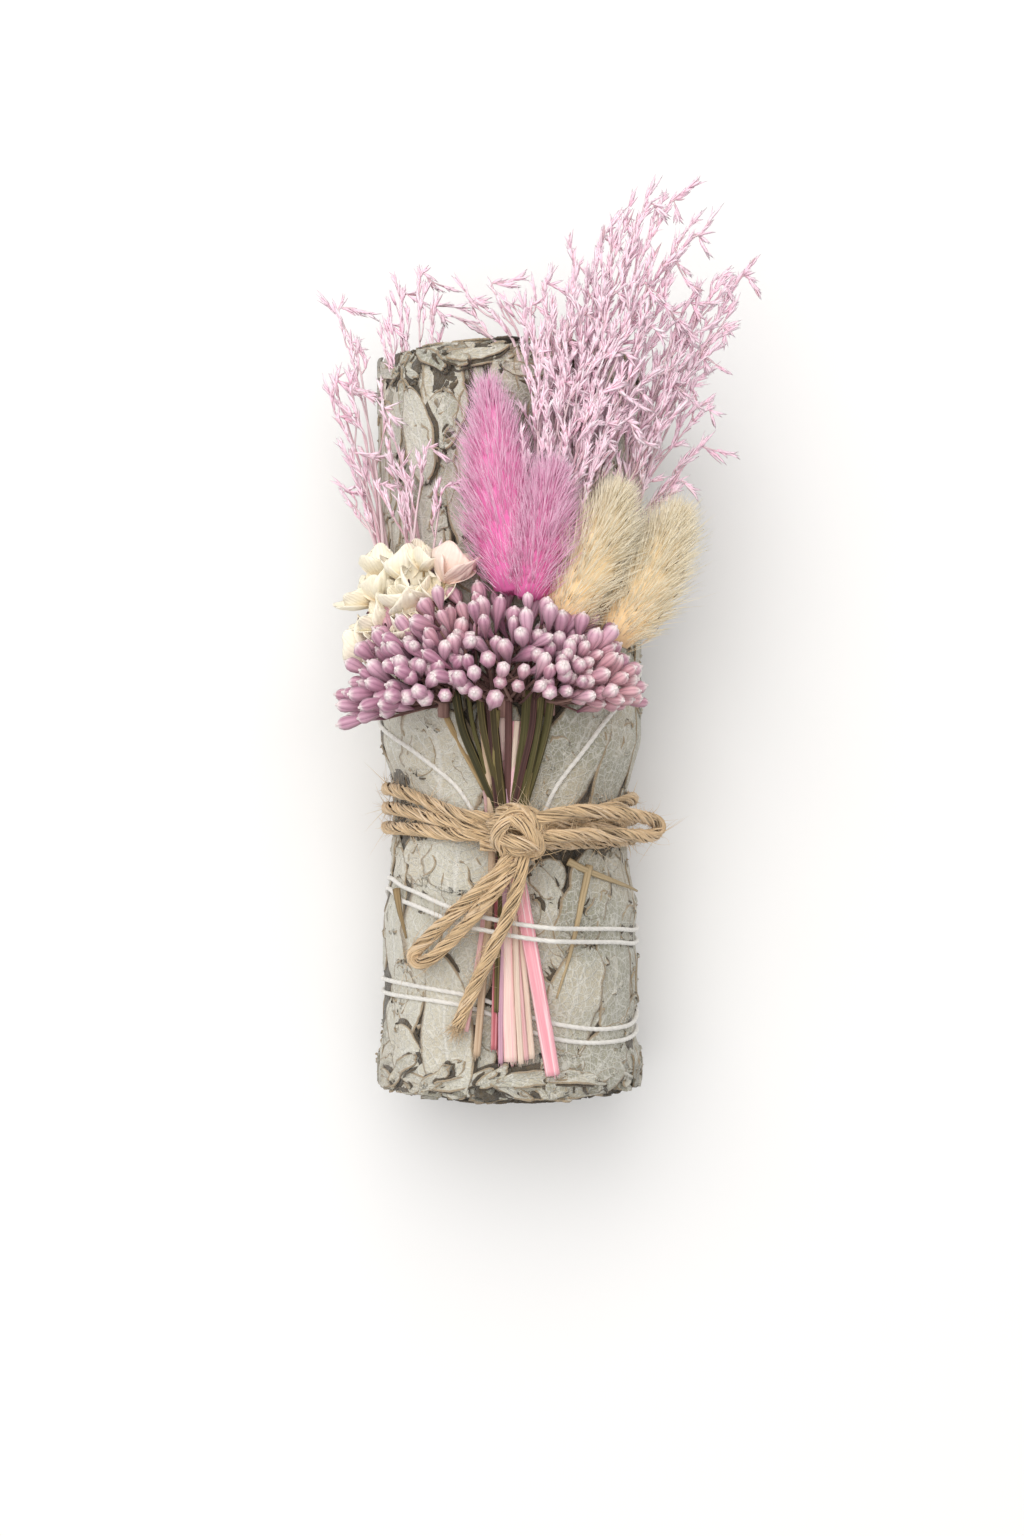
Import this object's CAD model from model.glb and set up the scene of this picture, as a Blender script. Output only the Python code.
import math

import bpy
import numpy as np
from bpy.props import FloatProperty, FloatVectorProperty, IntProperty, PointerProperty
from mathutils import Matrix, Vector, kdtree, noise


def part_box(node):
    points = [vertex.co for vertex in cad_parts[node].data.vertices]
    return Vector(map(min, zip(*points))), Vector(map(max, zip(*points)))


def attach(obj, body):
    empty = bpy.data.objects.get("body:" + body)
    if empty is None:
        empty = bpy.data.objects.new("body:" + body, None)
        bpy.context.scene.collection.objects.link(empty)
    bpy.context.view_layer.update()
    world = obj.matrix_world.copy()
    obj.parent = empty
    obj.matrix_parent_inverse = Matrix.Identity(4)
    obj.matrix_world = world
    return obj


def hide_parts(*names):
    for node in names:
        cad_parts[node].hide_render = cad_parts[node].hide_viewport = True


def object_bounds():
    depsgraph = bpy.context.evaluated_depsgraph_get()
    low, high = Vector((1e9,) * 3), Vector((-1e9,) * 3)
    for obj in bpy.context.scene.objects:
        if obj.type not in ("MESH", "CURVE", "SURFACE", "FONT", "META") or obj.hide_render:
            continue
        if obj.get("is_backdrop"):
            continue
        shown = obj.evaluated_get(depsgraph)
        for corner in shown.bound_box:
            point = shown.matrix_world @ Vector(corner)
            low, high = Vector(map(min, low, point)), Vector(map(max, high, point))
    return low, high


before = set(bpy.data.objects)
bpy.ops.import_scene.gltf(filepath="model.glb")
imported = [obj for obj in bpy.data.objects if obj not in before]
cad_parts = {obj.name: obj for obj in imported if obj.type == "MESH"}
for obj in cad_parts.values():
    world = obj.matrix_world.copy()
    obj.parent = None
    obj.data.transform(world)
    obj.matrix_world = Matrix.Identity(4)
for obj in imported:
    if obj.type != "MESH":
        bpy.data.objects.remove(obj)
cad_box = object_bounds()

bl_info = {
    "name": "Dried sage bundle",
    "version": (1, 0),
    "blender": (4, 5, 0),
    "location": "3D View > Sidebar > Sage",
    "description": "A rolled bundle of dried sage with a posy of dried flowers tied on",
    "category": "Add Mesh",
}

MM = 0.001
UP = np.array([0.0, 0.0, 1.0])
FULL_TURN = 2 * math.pi
FLOOR_GAP = 0.02  # nothing comes closer to the table than this, in millimetres


def box_mm(node):
    low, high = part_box(node)
    return np.array(low) / MM, np.array(high) / MM


# ---- Sizes that come from the frame, in millimetres ----

LEAF_LOW, LEAF_HIGH = box_mm("outer_sage_leaf_upper_3")
BUNDLE_RADIUS = float(LEAF_HIGH[0])
BUNDLE_END = float(LEAF_HIGH[1])
HEART_LOW, HEART_HIGH = box_mm("sage_sprig_heart")
AXIS_HEIGHT = float(HEART_LOW[2] + HEART_HIGH[2]) / 2
WRAPS_LOW, WRAPS_HIGH = box_mm("jute_twine_wraps")
TIE_Y = float(WRAPS_LOW[1] + WRAPS_HIGH[1]) / 2
KNOT_LOW, KNOT_HIGH = box_mm("jute_twine_knot")
KNOT_CENTRE = (KNOT_LOW + KNOT_HIGH) / 2
TWINE_RADIUS = 1.0
THREAD_RADIUS = 0.31
THREAD_LIFT = 0.8
TWINE_STAND = 0.3
LEAF_THICKNESS = 0.26
ROLLED_THICKNESS = 0.3
PETAL_THICKNESS = 0.1

# The waist that the windings pull in: places along the bundle, and how deep each is.
WAIST_PLACES = [-46.5, -44.5, -26, -19.5, -8.5, -2.5]
WAIST_DEPTHS = [0, 0.5, 0.5, 1.8, 1.8, 0]
UNDER_PLACES = [-46.5, -44.5, -26, -19.5, -8.5, -2.5, 4.5, 6.5, 10.5, 12.5]
UNDER_DEPTHS = [0, 1.5, 1.5, 2.45, 2.45, 0, 0, 1.5, 1.5, 0]


# ---- Light, table and camera, in metres ----

WORLD_LIGHT = 0.5
SOFTBOX_WATTS = 13.5
SOFTBOX_SIDE = 1.3
SOFTBOX_PLACE = (-0.18, 0.34, 1.06)
SOFTBOX_COLOUR = (1.0, 0.99, 0.975)
LIT_PLACE = (0, 0, 0.02)
TABLE_SIDE = 4
TABLE_COLOUR = (0.9, 0.892, 0.885, 1)
CAMERA_PLACE = (0.0003, -0.00625, 0.32)
CAMERA_LENS = 50


# ---- Colours ----


def srgb(red, green, blue):
    """A display colour, 0 to 255, as linear light."""
    shares = [value / 255 for value in (red, green, blue)]
    return tuple(s / 12.92 if s <= 0.04045 else ((s + 0.055) / 1.055) ** 2.4 for s in shares)


def colour_setting(name, description, default):
    return FloatVectorProperty(
        name=name, description=description, default=default, min=0, max=1, size=3, subtype="COLOR"
    )


class SageColours(bpy.types.PropertyGroup):
    leaf: colour_setting("Leaf", "Pale felt of the sage leaves", srgb(204, 199, 182))
    leaf_shade: colour_setting("Leaf shade", "Greyer patches of the leaves", srgb(156, 152, 132))
    leaf_warm: colour_setting("Warm leaf", "Leaves that dried to beige", srgb(200, 188, 164))
    leaf_rim: colour_setting("Leaf rim", "Dry brown rims and petioles", srgb(158, 132, 94))
    inner: colour_setting("Inner leaf", "Leaves rolled up inside", srgb(120, 108, 78))
    thread: colour_setting("Thread", "Cotton thread", srgb(236, 232, 225))
    twine: colour_setting("Twine", "Jute twine", srgb(224, 192, 148))
    allium: colour_setting("Allium buds", "Mauve of the allium buds", srgb(206, 144, 172))
    allium_warm: colour_setting("Faded allium buds", "Buds that dried to rose", srgb(226, 176, 174))
    pink: colour_setting("Pink tails", "Dyed bunny tail grass", srgb(246, 156, 206))
    cream: colour_setting("Cream tails", "Natural bunny tail grass", srgb(255, 241, 208))
    spray: colour_setting("Pink sprays", "Dyed florets of the sprays", srgb(255, 224, 237))
    petal: colour_setting("Cream petals", "Papery petals", srgb(255, 247, 226))


class SageSizes(bpy.types.PropertyGroup):
    twine_diameter: FloatProperty(
        name="Twine diameter",
        description="Thickness of the jute twine",
        default=2 * TWINE_RADIUS * MM,
        unit="LENGTH",
    )
    thread_diameter: FloatProperty(
        name="Thread diameter",
        description="Thickness of the cotton thread",
        default=2 * THREAD_RADIUS * MM,
        unit="LENGTH",
    )
    hairs: IntProperty(name="Hairs", description="Hairs on each bunny tail head", default=3600)
    buds: IntProperty(name="Buds", description="Buds on each allium head", default=92)


def colours():
    return bpy.context.scene.sage_colours


def sizes():
    return bpy.context.scene.sage_sizes


# ---- Shader nodes ----


class Wire:
    """What comes out of a shader node; sums and products of wires make maths nodes."""

    def __init__(self, finish, socket):
        self.finish = finish
        self.socket = socket

    def __add__(self, other):
        return self.finish.maths("ADD", self, other)

    def __sub__(self, other):
        return self.finish.maths("SUBTRACT", self, other)

    def __mul__(self, other):
        return self.finish.maths("MULTIPLY", self, other)

    def __abs__(self):
        return self.finish.maths("ABSOLUTE", self)


def sine(wire):
    return wire.finish.maths("SINE", wire)


def highest(first, second):
    return first.finish.maths("MAXIMUM", first, second)


class Finish:
    """A material, and short calls for its nodes."""

    def __init__(self, name, roughness=0.9, **constants):
        self.material = bpy.data.materials.new(name)
        self.material.use_nodes = True
        self.tree = self.material.node_tree
        self.shader = self.tree.nodes["Principled BSDF"]
        self.shader.inputs["Roughness"].default_value = roughness
        for socket, value in constants.items():
            self.shader.inputs[socket.replace("_", " ")].default_value = value
        self.coordinates = self.tree.nodes.new("ShaderNodeTexCoord")

    def node(self, kind, inputs=None, **options):
        made = self.tree.nodes.new(kind)
        for option, value in options.items():
            setattr(made, option, value)
        for key, value in (inputs or {}).items():
            self.feed(value, made.inputs[key])
        return made

    def feed(self, value, socket):
        value = getattr(value, "socket", value)
        if isinstance(value, bpy.types.NodeSocket):
            self.tree.links.new(value, socket)
        else:
            socket.default_value = value

    def maths(self, operation, first, second=0.0):
        made = self.node("ShaderNodeMath", {0: first, 1: second}, operation=operation)
        return Wire(self, made.outputs[0])

    def step(self, value, low, high):
        """0 below low, 1 above high, smooth between; low may be above high."""
        made = self.node("ShaderNodeMapRange", {0: value, 1: low, 2: high}, interpolation_type="SMOOTHSTEP")
        return Wire(self, made.outputs[0])

    def mix(self, factor, first, second):
        made = self.node("ShaderNodeMix", data_type="RGBA")
        self.feed(factor, made.inputs["Factor"])
        ends = [s for s in made.inputs if s.type == "RGBA"]
        for value, socket in zip((first, second), ends):
            self.feed(value if isinstance(value, Wire) else (*value[:3], 1), socket)
        return Wire(self, [s for s in made.outputs if s.type == "RGBA"][0])

    def noise(self, scale, detail=3.0, where=None, roughness=0.5):
        where = where or self.coordinates.outputs["Object"]
        inputs = {"Vector": where, "Scale": scale, "Detail": detail, "Roughness": roughness}
        return Wire(self, self.node("ShaderNodeTexNoise", inputs).outputs["Fac"])

    def cell_edges(self, scale):
        """Distance from the borders of a net of cells."""
        inputs = {"Vector": self.coordinates.outputs["Object"], "Scale": scale}
        made = self.node("ShaderNodeTexVoronoi", inputs, feature="DISTANCE_TO_EDGE")
        return Wire(self, made.outputs["Distance"])

    def tint(self):
        """The number each shape was given: 0 to 1, or below 0 for leaves that lie deep."""
        return Wire(self, self.node("ShaderNodeAttribute", attribute_name="tint").outputs["Fac"])

    def uv(self):
        made = self.node("ShaderNodeSeparateXYZ", {0: self.coordinates.outputs["UV"]})
        return Wire(self, made.outputs[0]), Wire(self, made.outputs[1])

    def streaks(self, round_it, along_it, detail=3, roughness=0.5):
        """Streaks along a stem or a cord: how fine they are round it, and along it."""
        around, along = self.uv()
        where = self.node("ShaderNodeCombineXYZ", {0: around * round_it, 1: along * along_it})
        return self.noise(1.0, detail, where.outputs[0], roughness)

    def colour(self, value):
        self.feed(value, self.shader.inputs["Base Color"])

    def bump(self, height, distance_mm, strength=1.0):
        made = self.node(
            "ShaderNodeBump", {"Height": height, "Distance": distance_mm * MM, "Strength": strength}
        )
        self.tree.links.new(made.outputs[0], self.shader.inputs["Normal"])


def lighter(colour, share):
    """A linear colour moved towards white, or towards black when share is below 0."""
    if share >= 0:
        return tuple(c + (1 - c) * share for c in colour)
    return tuple(c * (1 + share) for c in colour)


# ---- Meshes ----


def weave(rows, columns, closed=False):
    """Faces and corner UVs of a net of points; closed joins its last column to its first."""
    spans = columns if closed else columns - 1
    faces = []
    uvs = []
    for r in range(rows - 1):
        v0, v1 = r / (rows - 1), (r + 1) / (rows - 1)
        for c in range(spans):
            n = (c + 1) % columns
            u0, u1 = c / spans, (c + 1) / spans
            faces.append((r * columns + c, r * columns + n, (r + 1) * columns + n, (r + 1) * columns + c))
            uvs.extend(((u0, v0), (u1, v0), (u1, v1), (u0, v1)))
    return faces, uvs


def weave_capped(rows, sides):
    """A closed net round a tube, with a pole point at each end: the last two points."""
    faces, uvs = weave(rows, sides, closed=True)
    start, end = rows * sides, rows * sides + 1
    last = (rows - 1) * sides
    for c in range(sides):
        n = (c + 1) % sides
        faces.append((start, n, c))
        uvs.extend(((0.5, 0), (0.5, 0), (0.5, 0)))
        faces.append((end, last + c, last + n))
        uvs.extend(((0.5, 1), (0.5, 1), (0.5, 1)))
    return faces, uvs


class Sheaf:
    """Many small shapes gathered into one mesh."""

    def __init__(self):
        self.points = []
        self.faces = []
        self.uvs = []
        self.tints = []
        self.total = 0

    def add(self, points, faces, uvs, tint=0.5):
        points = np.asarray(points, float).reshape(-1, 3)
        shift = self.total
        self.points.append(points)
        self.faces.extend([tuple(i + shift for i in face) for face in faces])
        self.uvs.append(np.asarray(uvs, np.float32))
        self.tints.append(np.broadcast_to(np.asarray(tint, np.float32), (len(points),)))
        self.total += len(points)

    def piece(self, name, material):
        mesh = bpy.data.meshes.new(name)
        points = np.concatenate(self.points)
        points[:, 2] = np.maximum(points[:, 2], FLOOR_GAP)
        mesh.from_pydata((points * MM).tolist(), [], self.faces)
        layer = mesh.uv_layers.new(name="UVMap")
        layer.data.foreach_set("uv", np.concatenate(self.uvs).ravel())
        tint = mesh.attributes.new("tint", "FLOAT", "POINT")
        tint.data.foreach_set("value", np.concatenate(self.tints))
        mesh.polygons.foreach_set("use_smooth", [True] * len(mesh.polygons))
        mesh.materials.append(material)
        made = bpy.data.objects.new(name, mesh)
        bpy.context.scene.collection.objects.link(made)
        return made


def keep(piece, slot, *nodes):
    """The piece belongs to the bundle, and stands for these CAD nodes."""
    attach(piece, "root")
    if nodes:
        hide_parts(*nodes)


def thicken(piece, thickness):
    """Gives a sheet its thickness, under its upper face, and holds it above the table."""
    shell = piece.modifiers.new("Thickness", "SOLIDIFY")
    shell.thickness = thickness * MM
    shell.offset = -1
    bpy.ops.object.select_all(action="DESELECT")
    bpy.context.view_layer.objects.active = piece
    piece.select_set(True)
    bpy.ops.object.modifier_apply(modifier=shell.name)
    places = np.empty(3 * len(piece.data.vertices))
    piece.data.vertices.foreach_get("co", places)
    places[2::3] = np.maximum(places[2::3], FLOOR_GAP * MM)
    piece.data.vertices.foreach_set("co", places)


# ---- Routes ----


def unit(vectors):
    vectors = np.asarray(vectors, float)
    return vectors / np.maximum(np.linalg.norm(vectors, axis=-1, keepdims=True), 1e-9)


def smooth_route(points, step):
    """A smooth route through the points, with a point about every step."""
    points = np.asarray(points, float)
    padded = np.vstack([2 * points[0] - points[1], points, 2 * points[-1] - points[-2]])
    dense = []
    for i in range(1, len(padded) - 2):
        p0, p1, p2, p3 = padded[i - 1 : i + 3]
        t = np.linspace(0, 1, 12, endpoint=False)[:, None]
        dense.append(
            0.5
            * (
                2 * p1
                + (p2 - p0) * t
                + (2 * p0 - 5 * p1 + 4 * p2 - p3) * t**2
                + (3 * p1 - p0 - 3 * p2 + p3) * t**3
            )
        )
    dense.append(points[-1:])
    return spaced(np.concatenate(dense), step)


def spaced(points, step):
    """The same route with evenly spaced points."""
    lengths = np.linalg.norm(np.diff(points, axis=0), axis=1)
    run = np.concatenate([[0], np.cumsum(lengths)])
    count = max(3, int(round(run[-1] / step)) + 1)
    places = np.linspace(0, run[-1], count)
    return np.stack([np.interp(places, run, points[:, k]) for k in range(3)], axis=1)


def frames_along(points):
    """Directions along, and two across, at every point, that turn as little as they can."""
    along = unit(np.gradient(points, axis=0))
    first = np.cross(along[0], UP if abs(along[0][2]) < 0.9 else np.array([1.0, 0, 0]))
    side = [unit(first)]
    for direction in along[1:]:
        flat = side[-1] - direction * (side[-1] @ direction)
        side.append(unit(flat))
    side = np.array(side)
    return along, side, np.cross(along, side)


def tube(sheaf, points, radius, sides=8, tint=0.5, flat=1.0, flute=0.0, flutes=5, uv_length=None):
    """A tube along a route; radius may change along it, flat squashes it, and flute grooves it."""
    points = np.asarray(points, float)
    _, side, over = frames_along(points)
    radius = np.broadcast_to(radius, (len(points),))
    angles = np.linspace(0, FULL_TURN, sides, endpoint=False)
    grooves = 1 + flute * np.cos(flutes * angles)
    ring_x = (np.cos(angles) * grooves)[None, :, None] * radius[:, None, None]
    ring_y = (np.sin(angles) * grooves * flat)[None, :, None] * radius[:, None, None]
    net = points[:, None] + ring_x * side[:, None] + ring_y * over[:, None]
    ends = np.stack([points[0], points[-1]])
    faces, uvs = weave_capped(len(points), sides)
    uvs = np.array(uvs, np.float32)
    if uv_length:
        uvs[:, 1] *= np.linalg.norm(np.diff(points, axis=0), axis=1).sum() / uv_length
    sheaf.add(np.concatenate([net.reshape(-1, 3), ends]), faces, uvs, tint)


def plied(sheaf, points, radius, plies=3, pitch=3.0, share=0.7):
    """A cord of plies twisted round its route; share is how thick a ply is next to the cord."""
    _, side, over = frames_along(points)
    run = np.concatenate([[0], np.cumsum(np.linalg.norm(np.diff(points, axis=0), axis=1))])
    reach = radius * (1 - share)
    for ply in range(plies):
        angle = FULL_TURN * (run / pitch + ply / plies)
        core = points + reach * (np.cos(angle)[:, None] * side + np.sin(angle)[:, None] * over)
        tube(sheaf, core, radius * share * 1.08, 8, 0.5 + 0.12 * (ply - 1), uv_length=10)


# How wide a hair is at each of its rings: a hair tapers, and a bract is widest near its middle.
HAIR_SWELL = (1.0, 0.75, 0.5, 0.3)
BRACT_SWELL = (0.6, 1.0, 0.92)
SPLIT_SWELL = (1, 0.9, 0.6)


def hairs(sheaf, bases, directions, lengths, width, bends, tints, rings=3, swell=HAIR_SWELL):
    """Pointed three-sided hairs, each bent a little on its way."""
    bases, directions, bends = (np.asarray(a, float) for a in (bases, directions, bends))
    count = len(bases)
    directions = unit(directions)
    side = unit(np.cross(directions, unit(np.random.default_rng(5).normal(size=(count, 3)))))
    over = np.cross(directions, side)
    lengths = np.asarray(lengths, float).reshape(count, 1, 1)
    width = np.broadcast_to(width, (count,)).reshape(count, 1, 1, 1)
    t = np.linspace(0, 1, rings + 1)[None, :, None]
    middle = bases[:, None] + directions[:, None] * lengths * t + bends[:, None] * lengths * t**2
    taper = np.array(swell[:rings]).reshape(1, rings, 1, 1)
    angles = np.array([0, 2, 4]) * math.pi / 3
    across = np.cos(angles)[None, None, :, None] * side[:, None, None]
    across = across + np.sin(angles)[None, None, :, None] * over[:, None, None]
    ring = middle[:, :-1, None] + across * width * taper
    points = np.concatenate([ring.reshape(count, -1, 3), middle[:, -1:]], axis=1)
    faces, uvs = weave(rings, 3, closed=True)
    uvs = [(u, v * (rings - 1) / rings) for u, v in uvs]
    last = (rings - 1) * 3
    for c in range(3):
        faces.append((last + c, last + (c + 1) % 3, rings * 3))
        uvs.extend(((0.5, (rings - 1) / rings), (0.5, (rings - 1) / rings), (0.5, 1)))
    faces.append((2, 1, 0))
    uvs.extend(((0.5, 0), (0.5, 0), (0.5, 0)))
    size = rings * 3 + 1
    tints = np.broadcast_to(tints, (count,))
    for i in range(count):
        sheaf.faces.extend([tuple(k + sheaf.total + i * size for k in face) for face in faces])
    sheaf.uvs.append(np.tile(np.asarray(uvs, np.float32), (count, 1)))
    sheaf.points.append(points.reshape(-1, 3))
    sheaf.tints.append(np.repeat(tints, size).astype(np.float32))
    sheaf.total += count * size


def turned(profile, sides, ribs=0.0, ribs_round=6):
    """A shape turned on the Z axis from (radius, height) pairs that start and end on the axis."""
    profile = np.asarray(profile, float)
    angles = np.linspace(0, FULL_TURN, sides, endpoint=False)
    grooves = 1 + ribs * np.cos(ribs_round * angles)
    rings = []
    for radius, height in profile[1:-1]:
        x, y = radius * grooves * np.cos(angles), radius * grooves * np.sin(angles)
        rings.append(np.stack([x, y, angles * 0 + height], 1))
    poles = [[0, 0, profile[0][1]], [0, 0, profile[-1][1]]]
    points = np.concatenate([*rings, poles])
    faces, uvs = weave_capped(len(profile) - 2, sides)
    return points, faces, uvs


def put(sheaf, shape, place, direction, length=1, width=1, tint=0.5, turn=0):
    """A copy of a small shape, turned round its own axis and stretched along its direction."""
    points, faces, uvs = shape
    direction = unit(direction)
    side = unit(np.cross(direction, UP if abs(direction[2]) < 0.95 else np.array([1.0, 0, 0])))
    over = np.cross(side, direction)
    across = side * math.cos(turn) + over * math.sin(turn)
    third = np.cross(direction, across)
    moved = place + points[:, :1] * width * across + points[:, 1:2] * width * third
    sheaf.add(moved + points[:, 2:3] * length * direction, faces, uvs, tint)


def ripple(points, scale, seed=0.0):
    """Smooth random heights, -1 to 1, at the given points; scale is in millimetres."""
    spots = [Vector((x / scale, y / scale, z / scale + seed)) for x, y, z in points]
    return np.array([noise.noise(spot) for spot in spots])


# ---- The bundle's skin ----


def skin_radius(angle, y, depth=0.0):
    """Distance from the bundle's axis to its skin; angle 0 is straight up, and grows towards +X."""
    angle, y = np.broadcast_arrays(np.asarray(angle, float), np.asarray(y, float))
    round_radius = BUNDLE_RADIUS - depth - np.interp(y, WAIST_PLACES, WAIST_DEPTHS)
    to_flat = AXIS_HEIGHT - depth - np.interp(y, UNDER_PLACES, UNDER_DEPTHS)
    down = np.maximum(-np.cos(angle), 0.05)
    return np.minimum(round_radius, to_flat / down)


def settled(angle):
    """How far leaves and windings stand off, as a share: less at the sides, where they are pulled tight."""
    return 1 - 0.7 * np.abs(np.sin(angle)) ** 5


def at_angle(angle, y, radius):
    angle, y, radius = np.broadcast_arrays(*(np.asarray(a, float) for a in (angle, y, radius)))
    return np.stack([radius * np.sin(angle), y, AXIS_HEIGHT + radius * np.cos(angle)], axis=-1)


def bridged(angle, lying, top_height, half_width):
    """Where a taut cord runs as it bridges the stems of the posy."""
    top = top_height - AXIS_HEIGHT
    corner = math.atan2(half_width, top)
    touch = corner + np.arccos(np.minimum(lying / math.hypot(half_width, top), 1))
    turn = np.abs(np.arctan2(np.sin(angle), np.cos(angle)))
    arch = top / np.maximum(np.cos(turn), 0.2)
    slope = lying / np.cos(np.maximum(touch - turn, 0))
    return np.where(turn < touch, np.where(turn < corner, arch, slope), lying)


def wound_route(corners, lift, step, top=None, half_width=5.6, bridge_from=-math.inf):
    """A cord wound on the skin through corners of [degrees round, y]; from one corner on it may
    bridge the stems of the posy."""
    flat = smooth_route([[a, y, 0] for a, y in corners], 1.0)
    angle = np.radians(flat[:, 0])
    radius = skin_radius(angle, flat[:, 1]) + lift * settled(angle)
    if top is not None:
        over = bridged(angle, radius, top, half_width)
        upper = (flat[:, 0] > bridge_from) & (np.cos(angle) > 0)
        radius = np.where(upper, np.maximum(radius, over), radius)
    return spaced(at_angle(angle, flat[:, 1], radius), step)


# Cotton thread: corners of [degrees round, y], the lower winding and the upper turn that runs to the knot.
THREAD_LOWER = [
    (-180, -38.6), (-90, -37.7), (-23, -37.9), (18, -42.4), (52, -43.6), (90, -43.0), (180, -40.0),
    (270, -36.0), (337, -36.4), (378, -40.4), (412, -41.8), (450, -40.6), (540, -33.0),
    (630, -23.6), (668, -24.6), (694, -26.2), (728, -28.8), (770, -30.0), (810, -30.6), (900, -27.5),
    (990, -21.9), (1028, -22.8), (1054, -24.5), (1088, -27.1), (1130, -28.2), (1170, -28.8), (1240, -26.0),
]
THREAD_UPPER = [
    (14, -13.5), (20, -9.5), (30, -5.0), (42, -0.3), (65, 5.1), (90, 7.6), (135, 9.3), (180, 8.5),
    (225, 5.6), (270, 0.8), (303, -2.2), (320, -5.0), (336, -9.0), (346, -13.5),
]


def twine_wraps_route():
    """Three turns of twine that draw together under the knot."""
    turns = np.linspace(-0.03, 3.03, 430)
    angle = FULL_TURN * turns
    gather = np.maximum(np.cos(angle), 0) ** 3
    y = TIE_Y + 1.4 + 2.75 * (turns - 1.5) * (1 - 0.62 * gather) - 2.0 * gather
    lying = skin_radius(angle, TIE_Y) + 0.85 * TWINE_RADIUS + TWINE_STAND * settled(angle)
    over = bridged(angle, lying, 37.9, 5.2)
    radius = np.where(np.cos(angle) > 0, np.maximum(lying, over), lying)
    return spaced(at_angle(angle, y, radius), 0.6)


def pressing_cords():
    """Every cord that presses into the leaves: its route and its radius."""
    return [
        (wound_route(THREAD_LOWER, THREAD_LIFT, 0.8), THREAD_RADIUS),
        (wound_route(THREAD_UPPER, THREAD_LIFT, 0.8), THREAD_RADIUS),
        (twine_wraps_route(), TWINE_RADIUS),
    ]


class Press:
    """How far out a leaf may stand near the windings."""

    def __init__(self, cords):
        total = sum(len(route) for route, _ in cords)
        self.tree = kdtree.KDTree(total)
        self.floors = []
        for route, radius in cords:
            for place in route:
                self.tree.insert(Vector(place), len(self.floors))
                self.floors.append(math.hypot(place[0], place[2] - AXIS_HEIGHT) - radius)
        self.tree.balance()

    def limit(self, points, radii):
        limited = radii.copy()
        for i, place in enumerate(points):
            _, index, distance = self.tree.find(Vector(place))
            if distance < 5:
                limited[i] = min(radii[i], self.floors[index] + 0.16 * distance**1.5)
        return limited


# ---- Sage leaves ----

def leaf_finish():
    c = colours()
    finish = Finish("Sage leaf felt", roughness=0.95, Sheen_Weight=0.3, Sheen_Roughness=0.6)
    across_raw, along = finish.uv()
    tint = finish.tint()
    across = abs(across_raw - 0.5) * 2.0
    clouds = finish.noise(120, 4)
    mottle = finish.noise(1100, 5, roughness=0.7)
    speck = finish.noise(3600, 2)
    shade = clouds * 0.7 + mottle * 0.7 + (tint - 0.5) * 0.8
    felt = finish.mix(finish.step(shade, 0.3, 1.0), c.leaf_shade, c.leaf)
    warm = finish.step(finish.noise(95, 2), 0.45, 0.65) * 0.6
    felt = finish.mix(warm, felt, c.leaf_warm)

    # Fine pale network of veins, a midrib, and side veins that run out towards the tip.
    wide_net = finish.step(finish.cell_edges(760), 0.09, 0.0)
    fine_net = finish.step(finish.cell_edges(1500), 0.10, 0.0)
    net = highest(wide_net, fine_net)
    felt = finish.mix(net * 0.58, felt, lighter(c.leaf, 0.4))
    vein_run = along * 9.0 + finish.noise(170, 2) * 1.4 + across * -1.9
    vein_wave = abs(sine(vein_run * math.pi))
    side_vein = finish.step(vein_wave, 0.2, 0.02) * finish.step(across, 0.98, 0.6)
    midrib = finish.step(across, 0.07, 0.01) * finish.step(along, 1.0, 0.5) * 0.62
    veins = highest(side_vein * 0.62, midrib)
    clear = finish.step(tint, 0.2, 0.8) * 0.4 + 0.5
    felt = finish.mix(veins * clear, felt, lighter(c.leaf, 0.5))
    stipple = finish.step(speck, 0.57, 0.7)
    felt = finish.mix(stipple * 0.17, felt, lighter(c.leaf_shade, -0.5))
    felt = finish.mix(finish.step(finish.noise(2300, 2), 0.58, 0.7) * 0.3, felt, lighter(c.leaf, 0.35))

    # Thin tan rims; the leaves and rags that lie deep are dark.
    edge_noise = finish.noise(420, 3) * 0.24
    near_rim = across + edge_noise
    near_end = finish.step(along + edge_noise, 1.07, 1.11)
    rim = highest(finish.step(near_rim, 0.99, 1.09), near_end)
    felt = finish.mix(rim * 0.85, felt, lighter(c.leaf_rim, 0.05))
    darkest, dark = lighter(c.leaf_rim, -0.9), lighter(c.leaf_rim, -0.72)
    deep = finish.mix(finish.step(mottle, 0.35, 0.65), darkest, dark)
    felt = finish.mix(finish.step(tint, 0.05, -0.55) * 0.92, felt, deep)
    finish.colour(felt)
    finish.bump(mottle * 0.9 + net * 0.25 + veins * 0.5 + speck * 0.4, 0.26, 1.0)
    return finish.material


def within_ends(y):
    """The same places along the bundle, held back where they would pass its ends."""
    limit = BUNDLE_END - 0.9
    past = np.maximum(np.abs(y) - limit, 0)
    return np.sign(y) * (np.minimum(np.abs(y), limit) + 0.9 * np.tanh(past / 2.5))


def side_noise(steps, stretch, apart, seed):
    """Random waves down the two edges of a leaf, one column for each edge."""
    spots = [[Vector((v * stretch, side * apart, seed)) for side in (-1, 1)] for v in steps]
    return np.array([[noise.noise(spot) for spot in pair] for pair in spots])


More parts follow.
